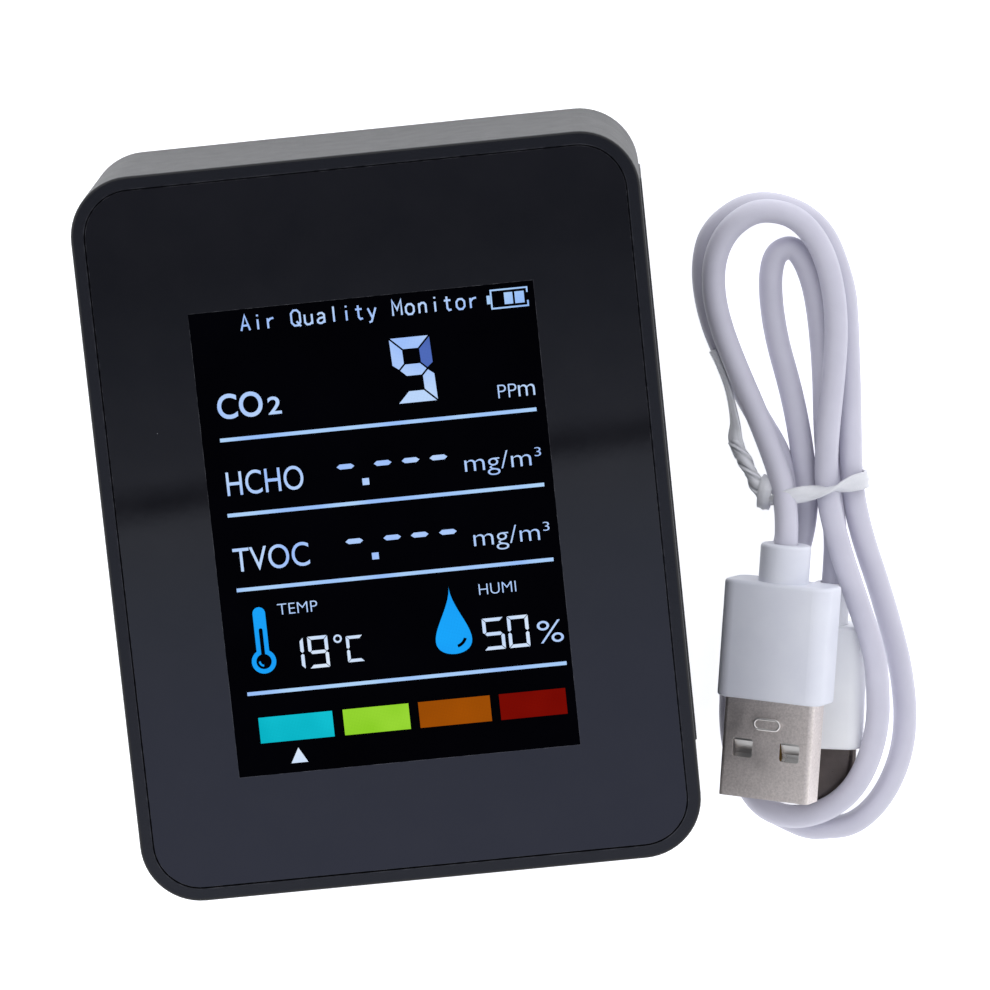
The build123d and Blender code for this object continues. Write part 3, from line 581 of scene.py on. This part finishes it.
soft_light("soft_lamp", "RECTANGLE", 0.5, 0.7, 2.0, (-0.55, 0.30, 0.60))
soft_light("soft_fill", "DISK", 0.5, 0.5, 1.0, (0.10, 0.62, 0.62))


def axes_of(tree, kind):
    """The three parts of one of the coordinates that a shader can read."""
    place = shader_node(tree, "TexCoord").outputs[kind]
    return shader_node(tree, "SeparateXYZ", {"Vector": place}).outputs


world = bpy.data.worlds.new("soft_room")
world.use_nodes = True
bpy.context.scene.world = world
room = world.node_tree
way = axes_of(room, "Generated")
slant = maths(room, "MULTIPLY", way["X"], 0.04)
overhead = shader_node(room, "ValToRGB", {"Fac": maths(room, "SUBTRACT", slant, way["Y"])})
stops = overhead.color_ramp.elements
overhead_shades = [
    (0.100, (0.14, 0.15, 0.20)),
    (0.112, (0.12, 0.13, 0.17)),
    (0.125, (0.19, 0.21, 0.27)),
    (0.142, (0.30, 0.32, 0.40)),
    (0.1454, (0.36, 0.38, 0.47)),
    (0.1462, (0.02, 0.02, 0.03)),
    (0.1497, (0.02, 0.02, 0.03)),
    (0.1508, (0.56, 0.59, 0.70)),
    (0.165, (0.58, 0.64, 0.83)),
    (0.185, (0.64, 0.70, 0.99)),
    (0.215, (0.68, 0.74, 1.08)),
    (0.300, (0.95, 0.97, 1.00)),
]
for end in (0, -1):
    place, shade = overhead_shades[end]
    stops[end].position = place
    stops[end].color = (*shade, 1)
for place, shade in overhead_shades[1:-1]:
    stops.new(place).color = (*shade, 1)
height = shader_node(
    room, "MapRange", {"Value": way["Z"], "From Min": 0.93, "From Max": 0.962},
    interpolation_type="SMOOTHSTEP",
)
sky = mix(room, height.outputs["Result"], (0.98, 0.99, 1.02, 1), overhead.outputs["Color"])
feed(room, room.nodes["Background"], Color=sky)


# ---- Front housing ----
# One black ABS moulding: the side walls and the raised rim round the glass. Its
# faces have a fine satin grain, its edges are lighter, partly as rubbed wear and
# partly as a painted glint, and dust sits on it.
def make_dust():
    """Mask of small round specks, each cell holding one speck or none."""
    group, given, made = new_group(
        "dust", {"Spacing": "Float", "Share": "Float", "Speck": "Float"}, {"Mask": "Float"}
    )
    place = shader_node(group, "TexCoord").outputs["Object"]
    cells = shader_node(group, "TexVoronoi", {"Vector": place, "Scale": given["Spacing"]})
    lot = shader_node(group, "SeparateColor", {"Color": cells.outputs["Color"]})
    chosen = maths(group, "LESS_THAN", lot.outputs["Red"], given["Share"])
    size = maths(group, "MULTIPLY", lot.outputs["Green"], given["Speck"])
    inside = maths(group, "LESS_THAN", cells.outputs["Distance"], size)
    group.links.new(maths(group, "MULTIPLY", chosen, inside), made["Mask"])
    return group


dust = make_dust()


def add_dust(material, spacing, share, speck, colour):
    """Dust specks, spacing in mm and speck as a share of it."""
    mask = use_group(
        material.node_tree, dust, {"Spacing": 1 / (spacing * mm), "Share": share, "Speck": speck}
    )
    lay_over(material, mask["Mask"], colour)


def polish_front(material, low, high):
    """Faces that look forward are polished, between two roughness values."""
    tree = material.node_tree
    shader = tree.nodes["Principled BSDF"]
    walls = shader.inputs["Roughness"].links[0].from_socket
    front = remap(tree, axes_of(tree, "Normal")["Z"], 0.3, 0.8)
    drift = remap(tree, walls, 0.4, 0.6, low, high)
    feed(tree, shader, Roughness=mix(tree, front, walls, drift))


case_finish = surface_finish(
    "case_plastic", main=(0.0050, 0.0054, 0.0072), second=(0.0066, 0.0070, 0.0092), patch=12.0,
    low=0.46, high=0.53, grain=0.16, depth=0.010, IOR=1.47, Specular_IOR_Level=0.42,
)
polish_front(case_finish, 0.13, 0.19)
# Lighter edges: rubbed wear, and a painted glint on the rim's edges.
add_wear_and_glint(case_finish, 0.25, (0.07, 0.07, 0.08), 0.5)
add_dust(case_finish, 3.0, 0.30, 0.05, (0.22, 0.22, 0.23))
dress(case_finish, "front_housing")


# ---- Side grille and dust mesh ----
# Snap-in grille of the same black plastic with fifteen tall slots, and a woven
# black mesh glued behind it that keeps fluff off the sensors.
grille_finish = surface_finish(
    "grille_plastic", main=(0.008, 0.0084, 0.0105), second=(0.011, 0.0114, 0.014), patch=8.0,
    low=0.42, high=0.55, grain=0.3, depth=0.012, IOR=1.47, Specular_IOR_Level=0.38,
)
add_wear_and_glint(grille_finish, 0.2, (0.08, 0.08, 0.09), 0.6)
add_dust(grille_finish, 2.6, 0.35, 0.06, (0.28, 0.28, 0.29))
dress(grille_finish, "vent_panel")


def woven_finish(name, pitch, thread, gap):
    """Plain weave of round threads crossing at right angles in the wall's plane."""
    material, tree, shader = start_material(name, {"Roughness": 0.65})
    place = axes_of(tree, "Object")
    threads = []
    for axis in ("Y", "Z"):
        phase = maths(tree, "MULTIPLY", place[axis], pi / (pitch * mm))
        threads.append(maths(tree, "ABSOLUTE", maths(tree, "SINE", phase)))
    top = maths(tree, "MAXIMUM", *threads)
    colour = mix(tree, remap(tree, top, 0.45, 0.75), (*gap, 1), (*thread, 1))
    feed(tree, shader, Base_Color=colour, Normal=raise_by(tree, top, 0.12))
    return material


dress(woven_finish("dust_mesh", 0.45, (0.035, 0.035, 0.037), (0.002, 0.002, 0.002)), "dust_mesh")


# ---- Power button and its switch ----
# Satin black button that stands a hair proud of the left wall and pushes the
# nylon plunger of a small switch on the main board.
button_finish = surface_finish(
    "button_plastic", main=(0.020, 0.0205, 0.024), second=(0.026, 0.0265, 0.031), patch=3.0,
    low=0.30, high=0.40, grain=0.16, depth=0.006, IOR=1.5,
)
add_wear_and_glint(button_finish, 0.3, (0.11, 0.11, 0.12), 0.7)
dress(button_finish, "power_button")

nylon_finish = surface_finish(
    "nylon", main=(0.70, 0.68, 0.62), second=(0.62, 0.60, 0.53), patch=2.0,
    low=0.42, high=0.55, grain=0.2, depth=0.01,
)
dress(
    nylon_finish, "switch_plunger", "display_connector", "battery_header", "battery_plug",
    "temp_humidity_sensor",
)


# ---- Front panel and its window ----
# A 1.5 mm acrylic sheet printed black on its back and bonded into the rim. The
# face is polished, with a slight ripple; the window in it is left clear.
panel_finish, panel_tree, panel_shader = start_material("panel_gloss", {"IOR": 1.49})
panel_tone = use_group(
    panel_tree, two_tone,
    {"Main": (0.0042, 0.0043, 0.0058, 1), "Second": (0.0056, 0.0056, 0.0072, 1), "Size": 160.0},
)
panel_ripple = use_group(
    panel_tree, surface_grain,
    {"Size": 90.0, "Stretch": (1, 1, 1), "Low": 0.018, "High": 0.040},
)
feed(
    panel_tree, panel_shader, Base_Color=panel_tone["Colour"], Roughness=panel_ripple["Roughness"],
    Normal=raise_by(panel_tree, panel_ripple["Height"], 0.0015),
)
# Painted glints on the panel's chamfered edges, laid on with the edge mask.
add_wear_and_glint(panel_finish, 0.12, (0.16, 0.16, 0.18), 0.5)
add_dust(panel_finish, 3.4, 0.30, 0.035, (0.16, 0.16, 0.17))
dress(panel_finish, "front_panel")

window_finish = surface_finish(
    "window_black", main=(0.0006, 0.0006, 0.0012), second=(0.0009, 0.0009, 0.0018), patch=14.0,
    low=0.20, high=0.28, grain=1.0, depth=0.001, Specular_IOR_Level=0.0,
)
add_dust(window_finish, 4.2, 0.30, 0.025, (0.03, 0.03, 0.035))
dress(window_finish, "screen_window", "lcd_glass")

tape_finish = surface_finish(
    "foam_tape", main=(0.045, 0.045, 0.047), second=(0.032, 0.032, 0.034), patch=1.5,
    low=0.75, high=0.95, grain=0.25, depth=0.05,
)
dress(tape_finish, "panel_tape", "battery_pad")


# ---- Lit figures on the screen ----
# The display's own picture: everything that glows. Each group of figures is a
# skin a few hundredths of a millimetre thick on the black window.
def make_dot_glow():
    """Colour broken by the display's fine dot grid and by an uneven backlight."""
    group, given, made = new_group(
        "dot_glow", {"Main": "Color", "Second": "Color", "Pitch": "Float", "Depth": "Float"},
        {"Colour": "Color"},
    )
    place = shader_node(group, "TexCoord").outputs["Object"]
    apart = axes_of(group, "Object")
    lines = []
    for axis in ("X", "Y"):
        share = maths(group, "FRACT", maths(group, "DIVIDE", apart[axis], given["Pitch"]))
        lines.append(remap(group, share, 0.80, 1.0))
    dim = maths(group, "MULTIPLY", maths(group, "MAXIMUM", *lines), given["Depth"])
    uneven = shader_node(group, "TexNoise", {"Vector": place, "Scale": 170.0, "Detail": 1.0})
    spread = remap(group, uneven.outputs["Fac"], 0.35, 0.65)
    tone = mix(group, spread, given["Main"], given["Second"])
    group.links.new(mix(group, dim, tone, (0.0, 0.0, 0.01, 1)), made["Colour"])
    return group


dot_glow = make_dot_glow()
dot_pitch = 0.18 * mm


def lit_finish(name, main, second, depth=0.25):
    """Glowing finish for the display's figures."""
    material, tree, shader = start_material(name, {
        "Base Color": (0, 0, 0, 1), "Roughness": 0.3, "Specular IOR Level": 0.0,
        "Emission Strength": 1.0,
    })
    glow = use_group(
        tree, dot_glow,
        {"Main": (*main, 1), "Second": (*second, 1), "Pitch": dot_pitch, "Depth": depth},
    )
    feed(tree, shader, Emission_Color=glow["Colour"])
    return material


lit_white = lit_finish("lit_white", (0.52, 0.70, 1.0), (0.36, 0.55, 1.0))
lit_pale = lit_finish("lit_pale", (0.74, 0.85, 1.0), (0.60, 0.75, 1.0))
lit_line = lit_finish("lit_line", (0.33, 0.54, 0.98), (0.45, 0.68, 0.98))
lit_dim = lit_finish("lit_dim", (0.060, 0.12, 0.42), (0.080, 0.15, 0.50))
lit_blue = lit_finish("lit_blue", (0.010, 0.39, 1.0), (0.010, 0.35, 0.96))
lit_cyan = lit_finish("lit_cyan", (0.003, 0.47, 0.58), (0.006, 0.54, 0.66))
lit_green = lit_finish("lit_green", (0.27, 0.64, 0.022), (0.34, 0.72, 0.04))
lit_orange = lit_finish("lit_orange", (0.36, 0.080, 0.0015), (0.32, 0.072, 0.0015))
lit_red = lit_finish("lit_red", (0.17, 0.003, 0.0008), (0.20, 0.004, 0.001))

window_low, window_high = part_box("screen_window")
figure_gap = 0.006 * mm
figure_base = window_high.z + figure_gap
figure_thickness = 0.03 * mm
weld_reach = 0.0005 * mm


def on_screen(across, down):
    """Place on the window's face, in mm from its upper left corner."""
    return Vector((window_low.x + across * mm, window_high.y - down * mm, figure_base))


def flat_shape(bm, corners):
    """Flat face from corners in screen mm."""
    bm.faces.new([bm.verts.new(on_screen(*corner)) for corner in corners])


def box_shape(bm, left, top, width, height):
    """Flat rectangle in screen mm."""
    right = left + width
    bottom = top + height
    flat_shape(bm, [(left, top), (left, bottom), (right, bottom), (right, top)])


def ring_shape(bm, outer, inner):
    """Flat face between an outer outline and an inner one, both in screen mm."""
    edges = []
    for outline in (outer, inner):
        corners = [bm.verts.new(on_screen(*corner)) for corner in outline]
        edges += [bm.edges.new(pair) for pair in zip(corners, corners[1:] + corners[:1])]
    bmesh.ops.triangle_fill(bm, edges=edges, use_beauty=True)


def stroke_shape(bm, points, width, closed=False):
    """Even stroke along points in screen mm, with mitred corners."""
    line = [Vector(point) for point in points]
    count = len(line)
    pairs = []
    for i, here in enumerate(line):
        before = line[i - 1] if (i or closed) else None
        after = line[(i + 1) % count] if (i < count - 1 or closed) else None
        ways = [(here - before).normalized()] if before is not None else []
        ways += [(after - here).normalized()] if after is not None else []
        middle = sum(ways, Vector((0, 0))).normalized()
        across = Vector((-middle.y, middle.x))
        reach = width / 2 / max(0.5, across.dot(Vector((-ways[0].y, ways[0].x))))
        pairs.append([bm.verts.new(on_screen(*(here + across * side * reach))) for side in (1, -1)])
    if closed:
        pairs.append(pairs[0])
    for first, second in zip(pairs, pairs[1:]):
        bm.faces.new((first[0], first[1], second[1], second[0]))


def circle_line(across, down, radius, start=0, end=360, steps=28):
    """Points round a circle or part of one, in screen mm and degrees."""
    whole = abs(end - start) >= 360
    last = steps if whole else steps + 1
    turns = [radians(start + (end - start) * i / steps) for i in range(last)]
    return [(across + radius * cos(turn), down - radius * sin(turn)) for turn in turns]


def light_up(name, bm, finish):
    """Gives flat figures their thickness and makes them a piece of the screen."""
    bmesh.ops.remove_doubles(bm, verts=bm.verts, dist=weld_reach)
    skin = bmesh.ops.extrude_face_region(bm, geom=bm.faces[:], use_keep_orig=True)
    raised = [item for item in skin["geom"] if isinstance(item, bmesh.types.BMVert)]
    bmesh.ops.translate(bm, verts=raised, vec=(0, 0, figure_thickness))
    return finish_piece(name, bm, finish, "monitor", smooth=False)


def lettering(bm, words, left, top, width, height, weight):
    """Plain upright letters fitted into a box on the screen."""
    text = bpy.data.curves.new("letters", "FONT")
    text.body = words
    text.offset = weight
    text.resolution_u = 6
    letters = bpy.data.objects.new("letters", text)
    bpy.context.scene.collection.objects.link(letters)
    flat = bpy.data.meshes.new_from_object(letters)
    bpy.data.objects.remove(letters)
    xs = [corner.co.x for corner in flat.vertices]
    ys = [corner.co.y for corner in flat.vertices]
    for corner in flat.vertices:
        across = left + width * (corner.co.x - min(xs)) / (max(xs) - min(xs))
        down = top + height * (max(ys) - corner.co.y) / (max(ys) - min(ys))
        corner.co = on_screen(across, down)
    bm.from_mesh(flat)
    bpy.data.meshes.remove(flat)


title_letters = {
    "A": [[(0, 0), (2, 7), (4, 0)], [(0.7, 2.3), (3.3, 2.3)]],
    "i": [[(2, 0), (2, 4.6)], [(2, 6), (2, 6.8)]],
    "r": [[(0.8, 0), (0.8, 4.6)], [(0.8, 3), (2, 4.3), (3.5, 4.6)]],
    "Q": [[(2.3, 1.9), (4.1, -0.5)]],
    "u": [[(0.3, 4.6), (0.3, 1), (1.1, 0), (2.4, 0), (3.6, 1.1)], [(3.6, 4.6), (3.6, 0)]],
    "a": [
        [(0.5, 3.9), (1.3, 4.6), (2.6, 4.6), (3.4, 3.8), (3.4, 0)],
        [(3.4, 2.6), (1.2, 2.3), (0.3, 1.4), (0.4, 0.5), (1.2, 0), (2.2, 0), (3.4, 1)],
    ],
    "l": [[(2, 0), (2, 7)]],
    "t": [[(1.7, 6.4), (1.7, 1), (2.4, 0), (3.5, 0.3)], [(0.4, 4.6), (3.4, 4.6)]],
    "y": [[(0.3, 4.6), (2.1, 0)], [(3.9, 4.6), (1.6, -1.5), (0.5, -1.9)]],
    "M": [[(0, 0), (0, 7), (2, 2.6), (4, 7), (4, 0)]],
    "n": [[(0.5, 0), (0.5, 4.6)], [(0.5, 3.3), (1.6, 4.6), (2.8, 4.6), (3.5, 3.7), (3.5, 0)]],
}
title_rounds = {
    "Q": [(1.2, 0), (2.8, 0), (4, 1.4), (4, 5.6), (2.8, 7), (1.2, 7), (0, 5.6), (0, 1.4)],
    "o": [(1.2, 0), (2.8, 0), (3.8, 1.2), (3.8, 3.4), (2.8, 4.6), (1.2, 4.6), (0.2, 3.4), (0.2, 1.2)],
}
title_words = "Air Quality Monitor"
title_left = 6.3
title_base = 2.65
title_pitch = 1.56
title_unit = 0.268
title_stroke = 0.235


def on_title(start, points):
    """Points of one letter of the title, carried to the letter's place on the screen."""
    return [(start + x * title_unit, title_base - y * title_unit) for x, y in points]


title = bmesh.new()
for spot, letter in enumerate(title_words):
    start = title_left + spot * title_pitch
    for points in title_letters.get(letter, []):
        stroke_shape(title, on_title(start, points), title_stroke)
    if letter in title_rounds:
        stroke_shape(title, on_title(start, title_rounds[letter]), title_stroke, closed=True)
light_up("screen_title", title, lit_white)

battery_sign = bmesh.new()
stroke_shape(
    battery_sign,
    [(41.6, 1.35), (41.6, 0.75), (37.15, 0.75), (37.15, 3.0), (41.6, 3.0), (41.6, 2.35)], 0.2,
)
box_shape(battery_sign, 36.6, 1.35, 0.42, 1.05)
box_shape(battery_sign, 38.75, 1.15, 1.05, 1.45)
box_shape(battery_sign, 40.05, 1.15, 1.15, 1.45)
light_up("screen_battery_sign", battery_sign, lit_line)


def segments(bm, lit, left, top, width, height, thick, gap, lean=0.0):
    """Seven-segment figure; lit names the segments, a at the top and g in the middle."""
    middle = height / 2
    half = thick / 2
    shapes = {
        "a": [(gap, 0), (width - gap, 0), (width - thick - gap, thick), (thick + gap, thick)],
        "d": [
            (thick + gap, height - thick), (width - thick - gap, height - thick),
            (width - gap, height), (gap, height),
        ],
        "g": [
            (half + gap, middle), (thick + gap, middle - half), (width - thick - gap, middle - half),
            (width - half - gap, middle), (width - thick - gap, middle + half),
            (thick + gap, middle + half),
        ],
    }
    upper = [
        (0, gap), (thick, thick + gap), (thick, middle - half - gap),
        (half, middle - gap), (0, middle - half * 0.8 - gap),
    ]
    shapes["f"] = upper
    shapes["e"] = [(x, height - y) for x, y in upper]
    shapes["b"] = [(width - x, y) for x, y in upper]
    shapes["c"] = [(width - x, height - y) for x, y in upper]
    for name in lit:
        flat_shape(bm, [(left + x + lean * y / height, top + y) for x, y in shapes[name]])


big_digit = dict(left=24.15, top=5.45, width=4.95, height=8.1, thick=1.42, gap=0.15, lean=0.3)
big_figure = bmesh.new()
segments(big_figure, "afgcd", **big_digit)
light_up("screen_big_digit", big_figure, lit_white)
dim_segment = bmesh.new()
segments(dim_segment, "b", **big_digit)
light_up("screen_dim_segment", dim_segment, lit_dim)

readings = bmesh.new()
small = dict(top=41.35, height=4.0, thick=0.42, gap=0.06)
segments(readings, "bc", left=7.35, width=2.3, **small)
segments(readings, "abcdfg", left=10.2, width=2.5, **small)
stroke_shape(readings, circle_line(13.95, 41.95, 0.42, steps=14), 0.22, closed=True)
segments(readings, "adef", left=14.95, width=2.1, top=41.75, height=3.3, thick=0.38, gap=0.05)
small["top"] = 41.25
segments(readings, "acdfg", left=31.9, width=2.65, **small)
segments(readings, "abcdef", left=35.0, width=2.6, **small)
light_up("screen_readings", readings, lit_pale)

names = bmesh.new()
for words, left, top, width, height, weight in (
    ("CO", 2.3, 10.2, 5.6, 3.15, 0.014),
    ("2", 8.5, 11.1, 1.65, 2.2, 0.014),
    ("PP", 36.8, 12.45, 2.3, 1.65, -0.014),
    ("m", 39.3, 12.7, 2.05, 1.4, -0.008),
    ("HCHO", 2.4, 19.9, 9.5, 3.0, 0.0),
    ("mg/m³", 31.8, 20.6, 9.5, 2.9, -0.010),
    ("TVOC", 2.2, 29.45, 9.4, 3.0, 0.0),
    ("mg/m³", 31.95, 29.95, 9.45, 2.9, -0.010),
    ("TEMP", 6.95, 36.9, 4.95, 1.35, -0.012),
    ("HUMI", 31.95, 36.9, 4.6, 1.35, -0.012),
    ("%", 38.6, 42.25, 3.2, 2.8, -0.006),
):
    lettering(names, words, left, top, width, height, weight)
light_up("screen_names", names, lit_white)

rule_height = 0.46
rules = bmesh.new()
for left, right, down in (
    (2.2, 41.3, 15.9), (2.1, 41.3, 25.3), (2.2, 41.5, 34.7), (2.1, 41.8, 47.8),
):
    box_shape(rules, left, down - rule_height / 2, right - left, rule_height)
light_up("screen_rules", rules, lit_line)

dash_half = 1.1
dash_flat = 0.7
dash_rise = 0.31
point_size = 0.84
blanks = bmesh.new()
for down, spots in ((20.65, (17.2, 21.8, 25.25, 28.7)), (30.0, (17.3, 22.0, 25.4, 28.9))):
    for spot in spots:
        flat_shape(blanks, [
            (spot - dash_half, down), (spot - dash_flat, down + dash_rise),
            (spot + dash_flat, down + dash_rise), (spot + dash_half, down),
            (spot + dash_flat, down - dash_rise), (spot - dash_flat, down - dash_rise),
        ])
for across, down in ((19.5, 22.75), (19.7, 32.1)):
    box_shape(blanks, across - point_size / 2, down - point_size / 2, point_size, point_size)
light_up("screen_blanks", blanks, lit_white)


def flask_outline(across, top, tube, bulb_down, bulb):
    """Outline of a tube with a round top that runs down into a round bulb."""
    neck = (bulb**2 - tube**2) ** 0.5
    opening = degrees(tube / bulb)
    cap = circle_line(across, top + tube, tube, 0, 180, 12)
    body = circle_line(across, bulb_down, bulb, 90 + opening, 450 - opening, 24)
    corners = [(across - tube, bulb_down - neck)]
    return cap + corners + body[1:-1] + [(across + tube, bulb_down - neck)]


stem_across = 4.6
bulb_centre = 43.9
thermometer = bmesh.new()
ring_shape(
    thermometer,
    flask_outline(stem_across, 37.05, 0.78, bulb_centre, 1.52),
    flask_outline(stem_across, 39.7, 0.24, bulb_centre, 0.95),
)
stroke_shape(thermometer, circle_line(stem_across, bulb_centre, 0.52, 175, 265, 8), 0.24)
light_up("screen_thermometer", thermometer, lit_blue)

drop_width = 4.5
drop_top = 36.8
drop_height = 8.5
drop_across = 28.25
drop_steps = 48
drop_pinch = 2.8
drop_turns = [2 * pi * i / drop_steps for i in range(drop_steps)]
drop_bulges = [sin(turn) * abs(sin(turn / 2)) ** drop_pinch for turn in drop_turns]
drop_reach = drop_width / 2 / max(drop_bulges)
drop_outline = [
    (drop_across + drop_reach * bulge, drop_top + drop_height * (1 - cos(turn)) / 2)
    for turn, bulge in zip(drop_turns, drop_bulges)
]
glint_down = 42.9
glint = (
    circle_line(drop_across, glint_down, 1.70, -75, -20, 10)
    + circle_line(drop_across, glint_down, 1.32, -20, -75, 10)
)
drop = bmesh.new()
ring_shape(drop, drop_outline, glint)
light_up("screen_drop", drop, lit_blue)

bar_top = 50.9
bar_height = 3.25
for name, left, right, finish in (
    ("cyan", 3.1, 12.3, lit_cyan),
    ("green", 13.6, 21.8, lit_green),
    ("orange", 23.0, 31.9, lit_orange),
    ("red", 33.05, 41.3, lit_red),
):
    bar = bmesh.new()
    box_shape(bar, left, bar_top, right - left, bar_height)
    light_up("screen_bar_" + name, bar, finish)

pointer = bmesh.new()
flat_shape(pointer, [(7.65, 55.1), (6.6, 57.0), (8.7, 57.0)])
light_up("screen_pointer", pointer, lit_pale)


# ---- Display module ----
# Behind the window: a pressed steel tray, the light guide, and the amber ribbon
# that folds down to its connector on the main board.
tray_finish = metal_finish(
    "tray_steel", (0.50, 0.50, 0.50), (0.42, 0.42, 0.43), 0.28, 0.42, 0.3, 0.004,
    stretch=(1, 12, 1),
)
dress(tray_finish, "lcd_frame")

guide_finish = surface_finish(
    "light_guide", main=(0.80, 0.82, 0.84), second=(0.74, 0.77, 0.80), patch=10.0,
    low=0.20, high=0.35, grain=0.4, depth=0.01,
)
dress(guide_finish, "backlight")


def striped_finish(name, ground, stripe, pitch, axis, share, low, high):
    """Ground colour with even stripes, such as copper lines under a film."""
    material, tree, shader = start_material(name)
    count = maths(tree, "MULTIPLY", axes_of(tree, "Object")[axis], 1 / (pitch * mm))
    line = maths(tree, "LESS_THAN", maths(tree, "FRACT", count), share)
    tone = use_group(
        tree, two_tone,
        {"Main": (*ground, 1), "Second": tuple(0.8 * part for part in ground) + (1,), "Size": 400.0},
    )
    skin = use_group(
        tree, surface_grain, {"Size": 2500.0, "Stretch": (1, 1, 1), "Low": low, "High": high}
    )
    feed(
        tree, shader, Base_Color=mix(tree, line, tone["Colour"], (*stripe, 1)),
        Roughness=skin["Roughness"], Normal=raise_by(tree, line, 0.02),
    )
    return material


dress(
    striped_finish("ribbon_film", (0.42, 0.20, 0.04), (0.60, 0.34, 0.10), 0.5, "X", 0.5, 0.25, 0.4),
    "display_flex",
)


# ---- Boards and what is soldered to them ----
# Green glass-fibre boards with copper tracks under the mask and tinned pads,
# black epoxy chips, and blackened screws through the bosses.
def board_finish(name, mask, track, pad):
    """Solder mask over square-running tracks, with bright pads dotted along them."""
    material, tree, shader = start_material(name)
    place = shader_node(tree, "TexCoord").outputs["Object"]
    tracks = shader_node(
        tree, "TexVoronoi", {"Vector": place, "Scale": 320.0, "Randomness": 0.75},
        feature="F2", distance="MANHATTAN",
    )
    share = maths(tree, "FRACT", maths(tree, "MULTIPLY", tracks.outputs["Distance"], 9.0))
    line = maths(tree, "LESS_THAN", share, 0.34)
    pads = shader_node(tree, "TexVoronoi", {"Vector": place, "Scale": 420.0, "Randomness": 0.45})
    spot = maths(tree, "LESS_THAN", pads.outputs["Distance"], 0.16)
    tone = use_group(
        tree, two_tone,
        {"Main": (*mask, 1), "Second": tuple(0.75 * part for part in mask) + (1,), "Size": 120.0},
    )
    tracked = mix(tree, line, tone["Colour"], (*track, 1))
    skin = use_group(
        tree, surface_grain, {"Size": 3000.0, "Stretch": (1, 1, 1), "Low": 0.28, "High": 0.45}
    )
    raised = maths(tree, "ADD", line, spot)
    feed(
        tree, shader, Base_Color=mix(tree, spot, tracked, (*pad, 1)), Metallic=spot,
        Roughness=skin["Roughness"], Normal=raise_by(tree, raised, 0.03),
    )
    return material


dress(
    board_finish("board_green", (0.010, 0.085, 0.035), (0.022, 0.15, 0.06), (0.70, 0.68, 0.62)),
    "main_board", "sensor_board",
)
epoxy_finish = surface_finish(
    "epoxy_black", main=(0.020, 0.020, 0.022), second=(0.028, 0.028, 0.030), patch=2.0,
    low=0.45, high=0.62, grain=0.12, depth=0.008,
)
add_wear_and_glint(epoxy_finish, 0.15, (0.10, 0.10, 0.10), 0.5)
dress(
    epoxy_finish, "main_chip", "board_parts", "usb_socket_core", "power_switch", "board_header",
    "usb_c_core",
)

black_steel = metal_finish(
    "blackened_steel", (0.10, 0.10, 0.105), (0.07, 0.07, 0.075), 0.30, 0.46, 0.15, 0.006
)
add_wear_and_glint(black_steel, 0.12, (0.42, 0.42, 0.43), 0.7)
dress(black_steel, "board_screws", "rear_screws")


# ---- Sensors ----
# Gold-flashed chamber of the infrared gas sensor and two nickel cans with dished
# mouths, hanging from the sensor board over the slots in the rear cover.
gold_finish = metal_finish(
    "chamber_gold", (0.72, 0.50, 0.20), (0.62, 0.42, 0.16), 0.22, 0.36, 0.4, 0.006
)
add_wear_and_glint(gold_finish, 0.3, (0.85, 0.66, 0.34), 0.5)
dress(gold_finish, "co2_sensor")
can_finish = metal_finish(
    "can_nickel", (0.55, 0.55, 0.54), (0.47, 0.47, 0.47), 0.24, 0.38, 0.2, 0.004
)
dress(can_finish, "tvoc_sensor", "hcho_sensor")


# ---- Battery and its leads ----
# Flat pouch cell in silver laminate, creased a little at its rounded edges, with
# a red and a black silicone wire to the plug on the main board.
pouch_finish = surface_finish(
    "pouch_foil", main=(0.46, 0.48, 0.51), second=(0.36, 0.38, 0.41), patch=6.0,
    low=0.26, high=0.44, grain=2.2, depth=0.12, Metallic=0.85,
)
dress(pouch_finish, "battery")
for wire, main, second in (
    ("red", (0.52, 0.015, 0.012), (0.42, 0.012, 0.01)),
    ("black", (0.016, 0.016, 0.017), (0.024, 0.024, 0.025)),
):
    wire_finish = surface_finish(
        "wire_" + wire, main=main, second=second, patch=1.2,
        low=0.38, high=0.52, grain=0.2, depth=0.01,
    )
    dress(wire_finish, "battery_lead_" + wire)


# ---- Rear cover ----
# Flat black cover let in behind the walls, with two columns of nine air slots. Its
# mould was spark-eroded, so the face is coarser than the housing's.
cover_finish = surface_finish(
    "cover_plastic", main=(0.014, 0.0145, 0.017), second=(0.019, 0.0195, 0.023), patch=10.0,
    low=0.42, high=0.56, grain=0.35, depth=0.03, IOR=1.47, Specular_IOR_Level=0.38,
)
add_wear_and_glint(cover_finish, 0.2, (0.09, 0.09, 0.10), 0.6)
add_dust(cover_finish, 2.8, 0.35, 0.05, (0.26, 0.26, 0.27))
dress(cover_finish, "rear_cover")
